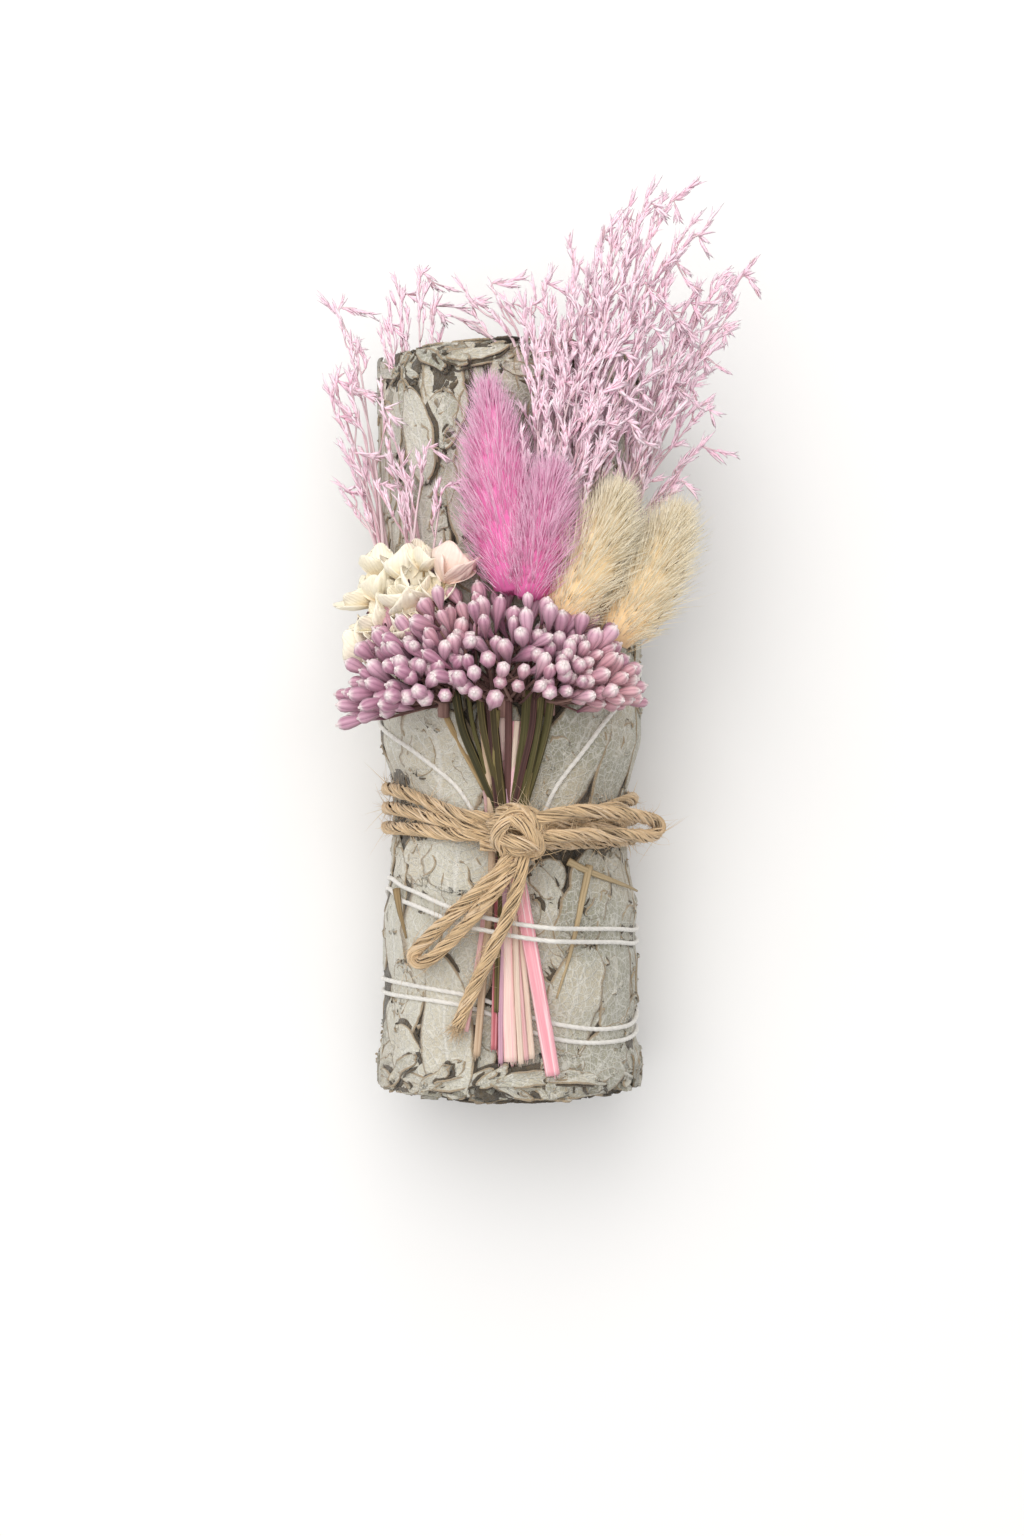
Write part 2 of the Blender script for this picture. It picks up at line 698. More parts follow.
def leaf_sheet(
    sheaf, place, seed, tint=None, crumple=1.0, blunt=0.42, curl=0.9, rows=34, columns=15, sunk=0.0
):
    """One leaf laid on the skin. Its place is: degrees round, middle along the bundle, length,
    half width, turn in degrees away from along the bundle, lift off the skin, and how torn it is."""
    middle, y_middle, length, half_width, turn, lift, torn = place
    rng = np.random.default_rng(seed)
    steps = (1 - np.cos(np.linspace(0, math.pi, rows))) / 2
    steps = 0.002 + 0.996 * steps
    u = np.linspace(-1, 1, columns)
    u = np.sign(u) * np.abs(u) ** 0.85
    outline = (4 * steps * (1 - steps)) ** (blunt - 0.2 * torn)
    sides = (u > 0).astype(int)
    waves = side_noise(steps, 5, 9, seed)
    teeth = side_noise(steps, length, 17, seed + 2)
    knots = np.linspace(0, 1, int(rng.integers(6, 10)))
    breaks = np.stack([np.interp(steps, knots, rng.uniform(-1, 1, len(knots))) for _ in range(2)], 1)
    ragged = 1 + 0.1 * waves + (0.1 + 0.3 * torn) * breaks + 0.6 * torn * teeth
    width = half_width * outline[:, None] * ragged[:, sides]
    ends = np.abs(2 * steps - 1)[:, None]
    spots = [[Vector((w * half_width * 0.8, v * 3, seed + 7)) for w in u] for v in steps]
    rips = np.array([[noise.noise(spot) for spot in row] for row in spots])
    run = (steps[:, None] - 0.5) * length + rips * (0.7 + 3.2 * torn) * ends**6
    bow = rng.uniform(-0.09, 0.09) * length * np.sin(math.pi * steps[:, None])
    across = u[None] * width + bow
    lean = math.radians(turn)
    y = within_ends(y_middle + run * math.cos(lean) - across * math.sin(lean))
    angle = math.radians(middle) + (across * math.cos(lean) + run * math.sin(lean)) / BUNDLE_RADIUS
    stand = settled(angle)
    radius = skin_radius(angle, y) + lift * stand
    flat = np.stack([across, run, y * 0 + seed], axis=-1).reshape(-1, 3)
    folds = ripple(flat * [1.0, 0.25, 1.0], 3.2, seed).reshape(y.shape)
    hills = ripple(flat * [1.0, 0.6, 1.0], 7.0, seed + 3).reshape(y.shape)
    creases = ripple(flat * [1.0, 0.8, 1.0], 1.5, seed + 5).reshape(y.shape)
    radius = radius + crumple * stand * (0.24 * folds + 0.2 * hills + 0.1 * creases)
    waving = np.sin(steps[:, None] * rng.uniform(5, 11) + rng.uniform(0, 6))
    raised = rng.uniform(0.3, 1.0) * np.sign(rng.uniform(-0.2, 1))
    edge_lift = np.abs(u[None]) ** 5 * (0.5 + 0.5 * waving) * raised
    radius = radius + curl * stand * (edge_lift + 0.45 * ends**10)
    radius = radius - 0.13 * np.exp(-((u[None] / 0.07) ** 2))
    past = np.maximum(np.abs(y) - (BUNDLE_END - 3.0), 0)
    radius = radius - 0.2 * past**2
    places = at_angle(angle, y, radius).reshape(-1, 3)
    radius = PRESS.limit(places, radius.ravel()).reshape(y.shape) - sunk
    faces, uvs = weave(rows, columns)
    sheaf.add(at_angle(angle, y, radius), faces, uvs, rng.uniform(0.1, 1) if tint is None else tint)


def scrap(sheaf, degrees, y, size, rng, stand, tint):
    """A small crumpled piece of leaf at a rim, folded along its middle and standing up a little."""
    u, v = np.meshgrid(np.linspace(-1, 1, 9), np.linspace(-1, 1, 9))
    seed = rng.uniform(0, 400)
    x = u * np.sqrt(1 - v**2 / 2.4) * size * rng.uniform(0.3, 0.6)
    z = v * np.sqrt(1 - u**2 / 2.4) * size * rng.uniform(0.6, 1.0)
    flat = np.stack([x, z, 0 * x + seed], -1).reshape(-1, 3)
    height = np.abs(x) * rng.uniform(-0.9, 0.9) + ripple(flat, 1.7, seed).reshape(x.shape) * 0.28 * size
    rag = 1 + 0.35 * ripple(flat, 0.9, seed + 4).reshape(x.shape) * np.maximum(np.abs(u), np.abs(v)) ** 4
    x, z = x * rag, z * rag
    angle = math.radians(degrees)
    out = np.array([math.sin(angle), 0, math.cos(angle)])
    around = np.array([math.cos(angle), 0, -math.sin(angle)])
    along = np.array([0, 1.0, 0])
    turn = rng.uniform(0, math.pi)
    first = around * math.cos(turn) + along * math.sin(turn)
    second = along * math.cos(turn) - around * math.sin(turn)
    tilt = rng.uniform(-stand, stand)
    raised = out * math.cos(tilt) - second * math.sin(tilt)
    second = second * math.cos(tilt) + out * math.sin(tilt)
    past = max(abs(y) - (BUNDLE_END - 3), 0)
    centre = at_angle(angle, y, skin_radius(angle, y) + 0.5 - 0.2 * past**2)
    points = centre + x[..., None] * first + z[..., None] * second + height[..., None] * raised
    points[..., 1] = within_ends(points[..., 1])
    away = np.hypot(points[..., 0], points[..., 2] - AXIS_HEIGHT)
    round_it = np.arctan2(points[..., 0], points[..., 2] - AXIS_HEIGHT)
    most = skin_radius(round_it, points[..., 1]) + 0.3 + settled(round_it)
    pull = np.minimum(1, most / np.maximum(away, 1e-6))
    points[..., 0] *= pull
    points[..., 2] = AXIS_HEIGHT + (points[..., 2] - AXIS_HEIGHT) * pull
    faces, uvs = weave(9, 9)
    sheaf.add(points, faces, uvs, tint)


PRESS = Press(pressing_cords())
RAG_DEPTH = 0.36  # how far the dark rags lie under the leaf whose edge they darken
GOLDEN_SHARE = 0.618034  # spreads places evenly round the bundle without a pattern

# Leaves that show between the flowers and the bottom end. Each: degrees round, middle along the bundle,
# length, half width, turn, lift and how torn its edges are.
SHOWN_LEAVES = [
    (-29, -27.0, 25, 7.6, -6, 1.00, 0.00),
    (-27, -41.2, 20, 3.7, -8, 1.55, 0.00),
    (-54, -38.8, 12, 4.2, 6, 0.95, 0.05),
    (-45, -45.4, 9.5, 2.7, -38, 1.70, 0.05),
    (-60, -28.0, 23, 3.2, -8, 0.80, 0.15),
    (-66, -44.0, 12, 3.6, 10, 0.90, 0.10),
    (-13, -44.0, 12, 3.0, 12, 0.70, 0.15),
    (-23, -18.9, 8, 5.6, 4, 1.35, 0.30),
    (-47, -18.5, 7, 3.2, -30, 1.15, 0.35),
    (30, -37.6, 15, 4.4, 14, 1.45, 0.05),
    (56, -31.4, 27, 4.4, 2, 1.00, 0.08),
    (34, -24.4, 15, 3.8, 24, 1.15, 0.05),
    (42, -46.2, 14, 3.8, 57, 1.60, 0.00),
    (14, -24.8, 14, 2.7, -24, 0.80, 0.20),
    (18, -30.6, 7, 2.2, 35, 1.00, 0.25),
    (23, -47.4, 7, 2.0, 40, 1.75, 0.10),
    (7, -40.0, 18, 3.2, -6, 0.60, 0.15),
    (76, -27.0, 24, 3.8, -4, 0.80, 0.12),
    (72, -44.0, 12, 4.2, 12, 1.10, 0.05),
    (-34, -6.6, 17, 7.0, 6, 1.35, 0.22),
    (-64, -3.0, 19, 3.6, -6, 0.95, 0.15),
    (-14, -5.4, 14, 2.4, 4, 0.70, 0.20),
    (25, -4.6, 20, 4.8, 30, 1.25, 0.06),
    (53, -2.2, 25, 4.5, 6, 1.05, 0.06),
    (8, -4.0, 15, 3.0, -10, 0.50, 0.20),
    (78, 2.0, 24, 4.4, -3, 1.20, 0.12),
    (-39, 38.6, 13, 2.4, -14, 1.75, 0.00),
    (-60, 31.0, 30, 2.4, 2, 1.10, 0.20),
    (-51, 42.0, 11, 1.7, 8, 1.50, 0.12),
    (-41, 31.5, 17, 3.4, 6, 1.15, 0.20),
    (-29, 43.0, 13, 2.9, -6, 1.20, 0.15),
]


class SAGE_OT_leaves(bpy.types.Operator):
    """Wraps the bundle in dry sage leaves"""

    bl_idname = "sage.leaves"
    bl_label = "Sage leaves"

    def execute(self, context):
        material = leaf_finish()
        rng = np.random.default_rng(11)
        leaves = [(place, rng.uniform(-1.0, -0.45)) for place in self.under_layers(rng)]
        under = len(leaves)
        leaves += [(place, None) for place in self.strips(rng)]
        leaves += [(place, None) for place in self.underside(rng)]
        for place in SHOWN_LEAVES:
            tone = 0.54 - place[0] / 95 + rng.uniform(-0.3, 0.3)
            leaves.append((place, min(max(tone, 0.1), 1.0)))
        nodes = [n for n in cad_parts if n.startswith(("outer_sage_leaf", "inner_sage_leaf"))]
        rags = Sheaf()
        for i, (place, tint) in enumerate(leaves):
            sheaf = Sheaf()
            calm = 0.6 if abs(math.cos(math.radians(place[0]))) < 0.45 else 1.0
            rows, columns = (24, 11) if i < under else (34, 15)
            place = self.flat_below(place)
            leaf_sheet(sheaf, place, 40 + i, tint, calm, 0.42, 0.65 * calm, rows, columns)
            if i >= under:
                below = self.deeper(place, rng)
                leaf_sheet(rags, below, 40 + i, -1.0, calm, 0.42, 0.65 * calm, 24, 9, RAG_DEPTH)
            leaf = sheaf.piece(f"sage_leaf_{i + 1:03d}", material)
            thicken(leaf, LEAF_THICKNESS)
            keep(leaf, "outer_leaf", *(nodes if i == 0 else ()))
        flakes = Sheaf()
        for i, place in enumerate([*self.fragments(rng), *self.rim_folds(rng)]):
            leaf_sheet(flakes, place, 400 + i, None, 0.5, 0.3, 0.9, 14, 9)
            leaf_sheet(rags, self.deeper(place, rng), 400 + i, -1.0, 0.5, 0.3, 0.9, 14, 9, RAG_DEPTH)
        for name, sheaf in (("broken_leaf_bits", flakes), ("dark_rags_between_leaves", rags)):
            bits = sheaf.piece(name, material)
            thicken(bits, LEAF_THICKNESS)
            keep(bits, "outer_leaf")
        rims = ((1, "top", 120, 5.4, (2.4, 7.0)), (-1, "bottom", 130, 3.0, (1.6, 4.4)))
        for side, name, count, band, size in rims:
            rim = Sheaf()
            for i in range(count):
                degrees = 360 * i / count + rng.uniform(-6, 6)
                y = side * (BUNDLE_END - rng.uniform(0.2, band))
                across = rng.uniform(*size)
                scrap(rim, degrees, y, across, rng, 1.1, rng.choice([-1.0, -0.6, -0.2, 0.3, 0.6, 0.9]))
            crumpled = rim.piece(f"crumpled_rim_{name}", material)
            thicken(crumpled, LEAF_THICKNESS)
            keep(crumpled, "outer_leaf")
        strands = Sheaf()
        for route in PETIOLES:
            flat = smooth_route([[degrees, y, 0] for degrees, y in route], 1.0)
            angle = np.radians(flat[:, 0])
            way = at_angle(angle, flat[:, 1], skin_radius(angle, flat[:, 1], -1.5))
            way = spaced(way, 0.8)
            taper = np.linspace(0.5, 0.12, len(way))
            shape = {"flat": 0.5, "flute": 0.12, "flutes": 4, "uv_length": 14}
            tube(strands, way, taper, 8, rng.uniform(0, 1), **shape)
        tan = stem_finish("Leaf petioles", srgb(208, 186, 148), srgb(150, 126, 90))
        keep(strands.piece("leaf_petioles", tan), "outer_leaf")
        return {"FINISHED"}

    def deeper(self, place, rng):
        """The same leaf, a little larger and shifted under the first, for a dark edge beside it."""
        middle, y, length, half_width, turn, lift, torn = place
        shift = rng.normal(0, 0.24, 2)
        degrees = middle + math.degrees(shift[0] / BUNDLE_RADIUS)
        return degrees, y + shift[1], length + 0.7, half_width + 0.36, turn, lift, torn + 0.08

    def flat_below(self, place):
        """Leaves under the bundle are pressed flat by its weight."""
        below = abs((place[0] % 360) - 180) < 66
        return (*place[:5], place[5] * (0.15 if below else 1), place[6])

    def under_layers(self, rng):
        """Two close layers that only show through the gaps."""
        for layer, lift in enumerate((-0.1, 0.3)):
            for row in range(3):
                length = 2 * BUNDLE_END / 3
                middle = -BUNDLE_END + (row + 0.5) * length
                for i in range(10):
                    degrees = (i + 0.5 * ((row + layer) % 2) + rng.uniform(-0.2, 0.2)) * 36
                    whole = length + rng.uniform(5, 11)
                    half_width = rng.uniform(6.4, 8.0)
                    yield degrees, middle, whole, half_width, rng.uniform(-5, 5), lift, 0.05

    def strips(self, rng):
        """Narrow torn strips side by side in the half above the flowers."""
        for level, (low, high) in enumerate(((10, 24), (22, 37), (36, 50))):
            for i in range(17):
                degrees = -88 + 11.0 * (i + 0.5 * (level % 2)) + rng.uniform(-3, 3)
                middle = rng.uniform(low, high)
                length = rng.uniform(13, 26)
                torn = rng.choice([0.0, 0.15, 0.3])
                half_width = rng.uniform(1.9, 3.3)
                turn = rng.uniform(-13, 13)
                yield degrees, middle, length, half_width, turn, rng.uniform(0.7, 1.4), torn

    def fragments(self, rng):
        """Small broken bits of leaf that show at the edges of the whole ones."""
        for i in range(80):
            degrees = -84 + 168 * ((i * GOLDEN_SHARE) % 1)
            y = -48 + 97 * (i + rng.uniform(0, 1)) / 80
            lift = rng.uniform(0.45, 1.2)
            length = rng.uniform(3.5, 9)
            half_width = rng.uniform(1.2, 2.8)
            yield degrees, y, length, half_width, rng.uniform(-60, 60), lift, 0.22

    def rim_folds(self, rng):
        """Narrow folded edges that run round both rims."""
        for side in (1, -1):
            for i in range(48):
                degrees = 7.5 * i + rng.uniform(-4, 4)
                y = side * (BUNDLE_END - rng.uniform(1.2, 4.2))
                half_width = rng.uniform(0.5, 1.1)
                length = rng.uniform(3.5, 8)
                turn = rng.uniform(35, 145)
                yield degrees, y, length, half_width, turn, rng.uniform(1.1, 1.9), 0.25

    def underside(self, rng):
        """Leaves of every size round the sides and the back."""
        for i in range(44):
            degrees = 88 + 184 * ((i * (1 - GOLDEN_SHARE)) % 1)
            middle = -44 + 88 * (i + rng.uniform(0, 1)) / 44
            turn = rng.uniform(-35, 35)
            length = rng.uniform(15, 27)
            half_width = rng.uniform(3.4, 5.8)
            lift = rng.uniform(0.6, 1.3)
            yield degrees, middle, length, half_width, turn, lift, rng.choice([0, 0.1, 0.25])


# Dry leaf stalks that lie on the skin below the knot: corners of [degrees round, y].
PETIOLES = [
    [(26, -18.8), (36, -20.2), (52, -21.8), (72, -23.4)],
    [(37, -19.4), (30, -25.0), (25, -31.0), (19, -37.0)],
    [(-57, -22.8), (-51, -26.2), (-47, -29.4)],
]


# ---- The rolled inside, and both ends ----


def inner_finish():
    c = colours()
    finish = Finish("Rolled inner leaves", roughness=0.95, Sheen_Weight=0.2)
    mottle = finish.noise(600, 5, roughness=0.65)
    clouds = finish.noise(150, 3)
    tint = finish.tint()
    shade = clouds * 0.6 + tint * 0.6
    tone = finish.mix(finish.step(shade, 0.3, 0.9), lighter(c.inner, -0.25), lighter(c.leaf_shade, -0.05))
    _, along = finish.uv()
    edge = finish.step(along, 0.82, 1.0)
    tone = finish.mix(edge * 0.7, tone, c.leaf_rim)
    tone = finish.mix(finish.step(mottle, 0.6, 0.35) * 0.4, tone, lighter(c.inner, -0.45))
    finish.colour(tone)
    finish.bump(mottle, 0.35, 0.9)
    return finish.material


def core_finish():
    c = colours()
    finish = Finish("Packed leaves in the gaps", roughness=1.0)
    mottle = finish.noise(700, 5, roughness=0.7)
    dark, light = lighter(c.inner, -0.75), lighter(c.inner, -0.35)
    finish.colour(finish.mix(finish.step(mottle, 0.35, 0.7), dark, light))
    finish.bump(mottle, 0.4, 0.8)
    return finish.material


class SAGE_OT_rolled_inside(bpy.types.Operator):
    """Rolls crumpled leaves and stem stubs up inside the bundle"""

    bl_idname = "sage.rolled_inside"
    bl_label = "Rolled inside"

    def execute(self, context):
        core = Sheaf()
        rows, sides = 46, 64
        reach = BUNDLE_END - 4.2
        y = np.linspace(-reach, reach, rows)[:, None]
        angle = np.linspace(0, FULL_TURN, sides, endpoint=False)[None]
        radius = skin_radius(angle, y, 1.3)
        net = at_angle(angle, y, radius).reshape(-1, 3)
        bumps = ripple(net, 2.4, 3.0) * 0.3
        net = at_angle(angle, y, radius + bumps.reshape(radius.shape))
        poles = [[0, -reach, AXIS_HEIGHT], [0, reach, AXIS_HEIGHT]]
        faces, uvs = weave_capped(rows, sides)
        core.add(np.concatenate([net.reshape(-1, 3), poles]), faces, uvs)
        packed = core.piece("packed_leaves", core_finish())
        nodes = [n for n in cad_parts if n.startswith("sage_sprig")]
        keep(packed, "sage_sprig", *nodes)
        material = inner_finish()
        rng = np.random.default_rng(23)
        for side, name in ((1, "top"), (-1, "bottom")):
            rolled = Sheaf()
            for ring in range(9):
                ring_radius = 2.4 + 1.72 * ring
                count = max(3, int(ring_radius * 0.62))
                for i in range(count):
                    middle = FULL_TURN * (i + rng.uniform(-0.3, 0.3)) / count
                    self.rolled_edge(rolled, rng, ring_radius, middle, side, ring)
            rim = rolled.piece(f"rolled_leaf_edges_{name}", material)
            thicken(rim, ROLLED_THICKNESS)
            keep(rim, "inner_leaf")
        stubs = Sheaf()
        for side in (1, -1):
            for _ in range(13):
                away = rng.uniform(1, 13.5)
                turn = rng.uniform(0, FULL_TURN)
                x, z = away * math.sin(turn), AXIS_HEIGHT + away * math.cos(turn)
                end = BUNDLE_END - rng.uniform(0.2, 2.6)
                outer = [x + rng.uniform(-0.5, 0.5), side * end, z + rng.uniform(-0.5, 0.5)]
                way = spaced(np.array([[x, side * (reach - 8), z], outer]), 1.5)
                tube(stubs, way, rng.uniform(0.6, 1.25), 9, rng.uniform(0, 1), flute=0.05, uv_length=10)
        brown = stem_finish("Sage stems", srgb(150, 122, 88), srgb(98, 74, 50))
        keep(stubs.piece("sage_stem_stubs", brown), "sage_sprig")
        return {"FINISHED"}

    def rolled_edge(self, sheaf, rng, ring_radius, middle, side, ring):
        rows, columns = 9, 18
        seed = rng.uniform(0, 500)
        span = rng.uniform(0.8, 1.5) * min(1.0, 5 / ring_radius) + 0.35
        angle = middle + np.linspace(-span, span, columns)[None]
        outward = BUNDLE_END - rng.uniform(0.1, 2.4) - 0.12 * (8 - ring)
        depth = np.linspace(10, 0, rows)[:, None]
        y = side * (outward - depth) + 0 * angle
        flat = np.stack([angle * ring_radius + 0 * y, y, 0 * y + seed], -1).reshape(-1, 3)
        crumple = ripple(flat, 2.2, seed).reshape(y.shape)
        ragged = ripple(flat * [1, 0, 1], 1.5, seed + 9).reshape(y.shape)
        y = y + side * ragged * 0.8 * (1 - depth / 10)
        spiral = 1.1 * (angle - middle) / span
        radius = ring_radius + spiral + 0.9 * crumple * (1.1 - depth / 12)
        radius = np.minimum(radius, skin_radius(angle, y, 0.35))
        points = at_angle(angle + 0 * y, y, radius)
        faces, uvs = weave(rows, columns)
        sheaf.add(points, faces, uvs, rng.uniform(0, 1))


# ---- Stems ----

def stem_finish(name, light, dark, roughness=0.65, streak=None):
    """A dry stem with streaks along it; some have a paler or darker streak colour as well."""
    finish = Finish(name, roughness=roughness, Specular_IOR_Level=0.3)
    streaks = finish.streaks(14.0, 0.9)
    fibres = finish.streaks(60.0, 2.2)
    tint = finish.tint()
    shade = streaks * 0.7 + fibres * 0.35 + (tint - 0.5) * 0.5
    tone = finish.mix(finish.step(shade, 0.25, 0.8), dark, light)
    if streak:
        tone = finish.mix(finish.step(streaks, 0.5, 0.62) * 0.75, tone, streak)
    finish.colour(tone)
    finish.bump(streaks + fibres, 0.14, 0.8)
    return finish.material


UNDER_TIE, OVER_TIE = 34.4, 35.9

# Each cut stem: its colour, radius, flatness and number of ragged fibres at its cut end, then its
# route from there to its flower.
CUT_STEMS = {
    "pink_straw": (
        ("pink", 0.98, 0.42, 3),
        [
            (5.7, -47.0, 37.2), (3.8, -36, 37.3), (2.2, -27, 37.4),
            (0.9, -19, 36.2), (0.6, -10, 36.0), (0.8, 0, 37.0),
        ],
    ),
    "pale_straw": (
        ("stripe", 0.95, 0.5, 8),
        [
            (0.1, -45.2, 37.0), (-0.3, -36, 36.9), (-0.5, -27, 36.6),
            (-0.6, -19, 35.0), (-0.6, -10, 35.0), (-1, 2, 37.0),
        ],
    ),
    "cream_straw_right": (
        ("cream", 0.5, 0.7, 6),
        [
            (2.9, -44.9, 36.5), (2.1, -36, 36.4), (1.4, -27, 36.2),
            (1.4, -19, UNDER_TIE), (1.4, -10, UNDER_TIE), (2.6, -1, 36.4),
        ],
    ),
    "cream_straw_thin": (
        ("cream", 0.4, 0.8, 6),
        [
            (1.5, -45.5, 37.1), (1.0, -36, 37.2), (0.7, -27, 36.9),
            (0.2, -19, OVER_TIE), (0.2, -10, OVER_TIE), (1.0, 0, 37.5),
        ],
    ),
    "rosy_straw_right": (
        ("rosy", 0.34, 0.8, 4),
        [
            (2.2, -45.0, 36.9), (1.6, -38, 37.0), (0.9, -29, 36.6),
            (0.6, -20, UNDER_TIE), (0.8, -10, UNDER_TIE), (1.6, -2, 36.0),
        ],
    ),
    "red_straw_left": (
        ("red", 0.46, 0.6, 4),
        [
            (-2.1, -43.6, 37.0), (-1.9, -36, 37.0), (-1.6, -27, 36.4),
            (-1.8, -19, UNDER_TIE), (-1.8, -10, UNDER_TIE), (-3.6, -1, 36.2),
        ],
    ),
    "red_straw_middle": (
        ("red", 0.36, 0.7, 3),
        [
            (-1.35, -44.4, 36.4), (-1.2, -36, 36.4), (-1.1, -27, 36.0),
            (-1.0, -19, UNDER_TIE), (-0.9, -10, UNDER_TIE), (-2, 0, 36.6),
        ],
    ),
    "beige_straw": (
        ("beige", 0.5, 0.6, 5),
        [
            (-4.4, -44.5, 36.7), (-3.7, -36, 36.9), (-2.9, -27, 36.6),
            (-2.4, -19, OVER_TIE), (-2.6, -10, OVER_TIE), (-3.4, -2, 37.2),
        ],
    ),
    "rose_straw": (
        ("rosy", 0.34, 0.8, 2),
        [
            (-5.8, -41.2, 36.9), (-4.9, -36, 36.9), (-3.6, -27, 36.6),
            (-3.2, -19, UNDER_TIE), (-3.2, -10, UNDER_TIE), (-5.4, 0, 34.9),
        ],
    ),
    "lilac_straw": (
        ("lilac", 0.34, 0.8, 4),
        [
            (-1.2, -45.4, 37.2), (-1.2, -38, 37.3), (-1.0, -27, 37.0),
            (-0.4, -19, 36.4), (-0.4, -10, 36.2), (-0.2, 0, 37.4),
        ],
    ),
    "olive_stem_short": (
        ("olive", 0.36, 0.9, 2),
        [
            (-1.75, -38.6, 37.3), (-1.6, -31, 37.4), (-1.3, -26, 37.1), (-1.2, -19, OVER_TIE),
            (-2.0, -10, OVER_TIE), (-2.0, -4.6, 37.6), (-1.6, 1.4, 38.4),
        ],
    ),
}

STRAW_COLOURS = {
    "pink": (srgb(252, 196, 202), srgb(238, 150, 164), srgb(255, 224, 226)),
    "stripe": (srgb(252, 236, 222), srgb(240, 196, 188), srgb(246, 178, 184)),
    "cream": (srgb(248, 232, 214), srgb(232, 200, 180), None),
    "rosy": (srgb(248, 212, 208), srgb(226, 160, 164), None),
    "red": (srgb(222, 130, 136), srgb(168, 84, 92), srgb(236, 178, 180)),
    "beige": (srgb(228, 204, 176), srgb(182, 148, 118), None),
    "lilac": (srgb(232, 190, 204), srgb(198, 146, 168), None),
    "olive": (srgb(122, 112, 68), srgb(72, 62, 38), srgb(150, 134, 88)),
    "green": (srgb(104, 98, 58), srgb(54, 50, 32), srgb(134, 118, 78)),
    "plum": (srgb(110, 76, 72), srgb(62, 42, 40), srgb(138, 96, 88)),
}


class SAGE_OT_stems(bpy.types.Operator):
    """Lays the posy's stems under the twine, with their cut ends below the knot"""

    bl_idname = "sage.stems"
    bl_label = "Posy stems"

    def execute(self, context):
        finishes = {}
        for name, (light, dark, streak) in STRAW_COLOURS.items():
            finishes[name] = stem_finish(f"{name.capitalize()} straw", light, dark, streak=streak)
        slots = dict.fromkeys(("pink", "red", "rosy", "lilac"), "pink_stem") | {"olive": "green_stem"}
        replaced = {
            "pink_straw": ["pink_bunny_tail_tall_stem"],
            "red_straw_left": ["pink_bunny_tail_short_stem"],
            "pale_straw": ["cream_bunny_tail_inner_stem"],
            "cream_straw_right": ["cream_bunny_tail_outer_stem"],
            "olive_stem_short": ["allium_stem_left", "allium_stem_centre", "allium_stem_right"],
        }
        rng = np.random.default_rng(57)
        for name, ((kind, radius, flat, ragged), route) in CUT_STEMS.items():
            straw = Sheaf()
            way = smooth_route(route, 0.8)
            along = unit(way[0] - way[1])
            lumps = [noise.noise(Vector((v * 0.35, radius * 9, 0))) for v in range(len(way))]
            swell = radius * (1 + 0.06 * np.array(lumps))
            tube(straw, way, swell, 18, 0.5, flat=flat, flute=0.05, flutes=7, uv_length=20)
            across = rng.uniform(-0.85, 0.85, ragged) * radius
            high = rng.uniform(-0.5, 0.6, ragged) * radius * flat
            ends = way[0] + np.stack([across, 0 * across, high], 1) - along * 0.5
            splits = along + rng.normal(0, 0.07, (ragged, 3))
            lengths = rng.uniform(0.8, 1.5, ragged)
            hairs(straw, ends, splits, lengths, 0.16 * radius + 0.03, 0 * ends, 0.9, swell=SPLIT_SWELL)
            keep(straw.piece(name, finishes[kind]), slots.get(kind, "cream_stem"), *replaced.get(name, []))
        rng = np.random.default_rng(31)
        for kind, count in (("green", 8), ("plum", 5), ("olive", 4)):
            bunch = Sheaf()
            for _ in range(count):
                low = rng.uniform(-2.4, 2.2)
                high = 2.1 * low + rng.uniform(-1.8, 1.8)
                depth = rng.uniform(0, 1.6)
                route = [
                    (low * 0.6, -17, 35.6),
                    (low * 0.8, -12, 35.4 + 0.5 * depth),
                    ((low + high) / 2, -6, 35.9 + depth),
                    (high, -1, 36.8 + depth),
                    (high * 1.15, 4.0, 38.6),
                ]
                way = smooth_route(route, 0.9)
                tube(bunch, way, rng.uniform(0.3, 0.62), 12, rng.uniform(0, 1), flute=0.09, uv_length=20)
            keep(bunch.piece(f"{kind}_stems_above_knot", finishes[kind]), "green_stem")
        return {"FINISHED"}


# ---- Thread and twine ----

def thread_finish():
    c = colours()
    finish = Finish("Cotton thread", roughness=0.9, Sheen_Weight=0.3)
    fibre = finish.streaks(3.0, 10.0)
    finish.colour(finish.mix(finish.step(fibre, 0.3, 0.7), lighter(c.thread, -0.16), c.thread))
    finish.bump(fibre, 0.05, 0.5)
    return finish.material


def twine_finish():
    c = colours()
    finish = Finish("Jute twine", roughness=0.85, Sheen_Weight=0.3)
    fibre = finish.streaks(5.0, 4.0, detail=4, roughness=0.65)
    patches = finish.noise(170, 3)
    tint = finish.tint()
    shade = fibre * 0.55 + patches * 0.45 + (tint - 0.5) * 0.42
    tone = finish.mix(finish.step(shade, 0.1, 0.6), lighter(c.twine, -0.62), c.twine)
    tone = finish.mix(finish.step(shade, 0.5, 1.0), tone, lighter(c.twine, 0.3))
    finish.colour(tone)
    finish.bump(fibre, 0.12, 0.8)
    return finish.material


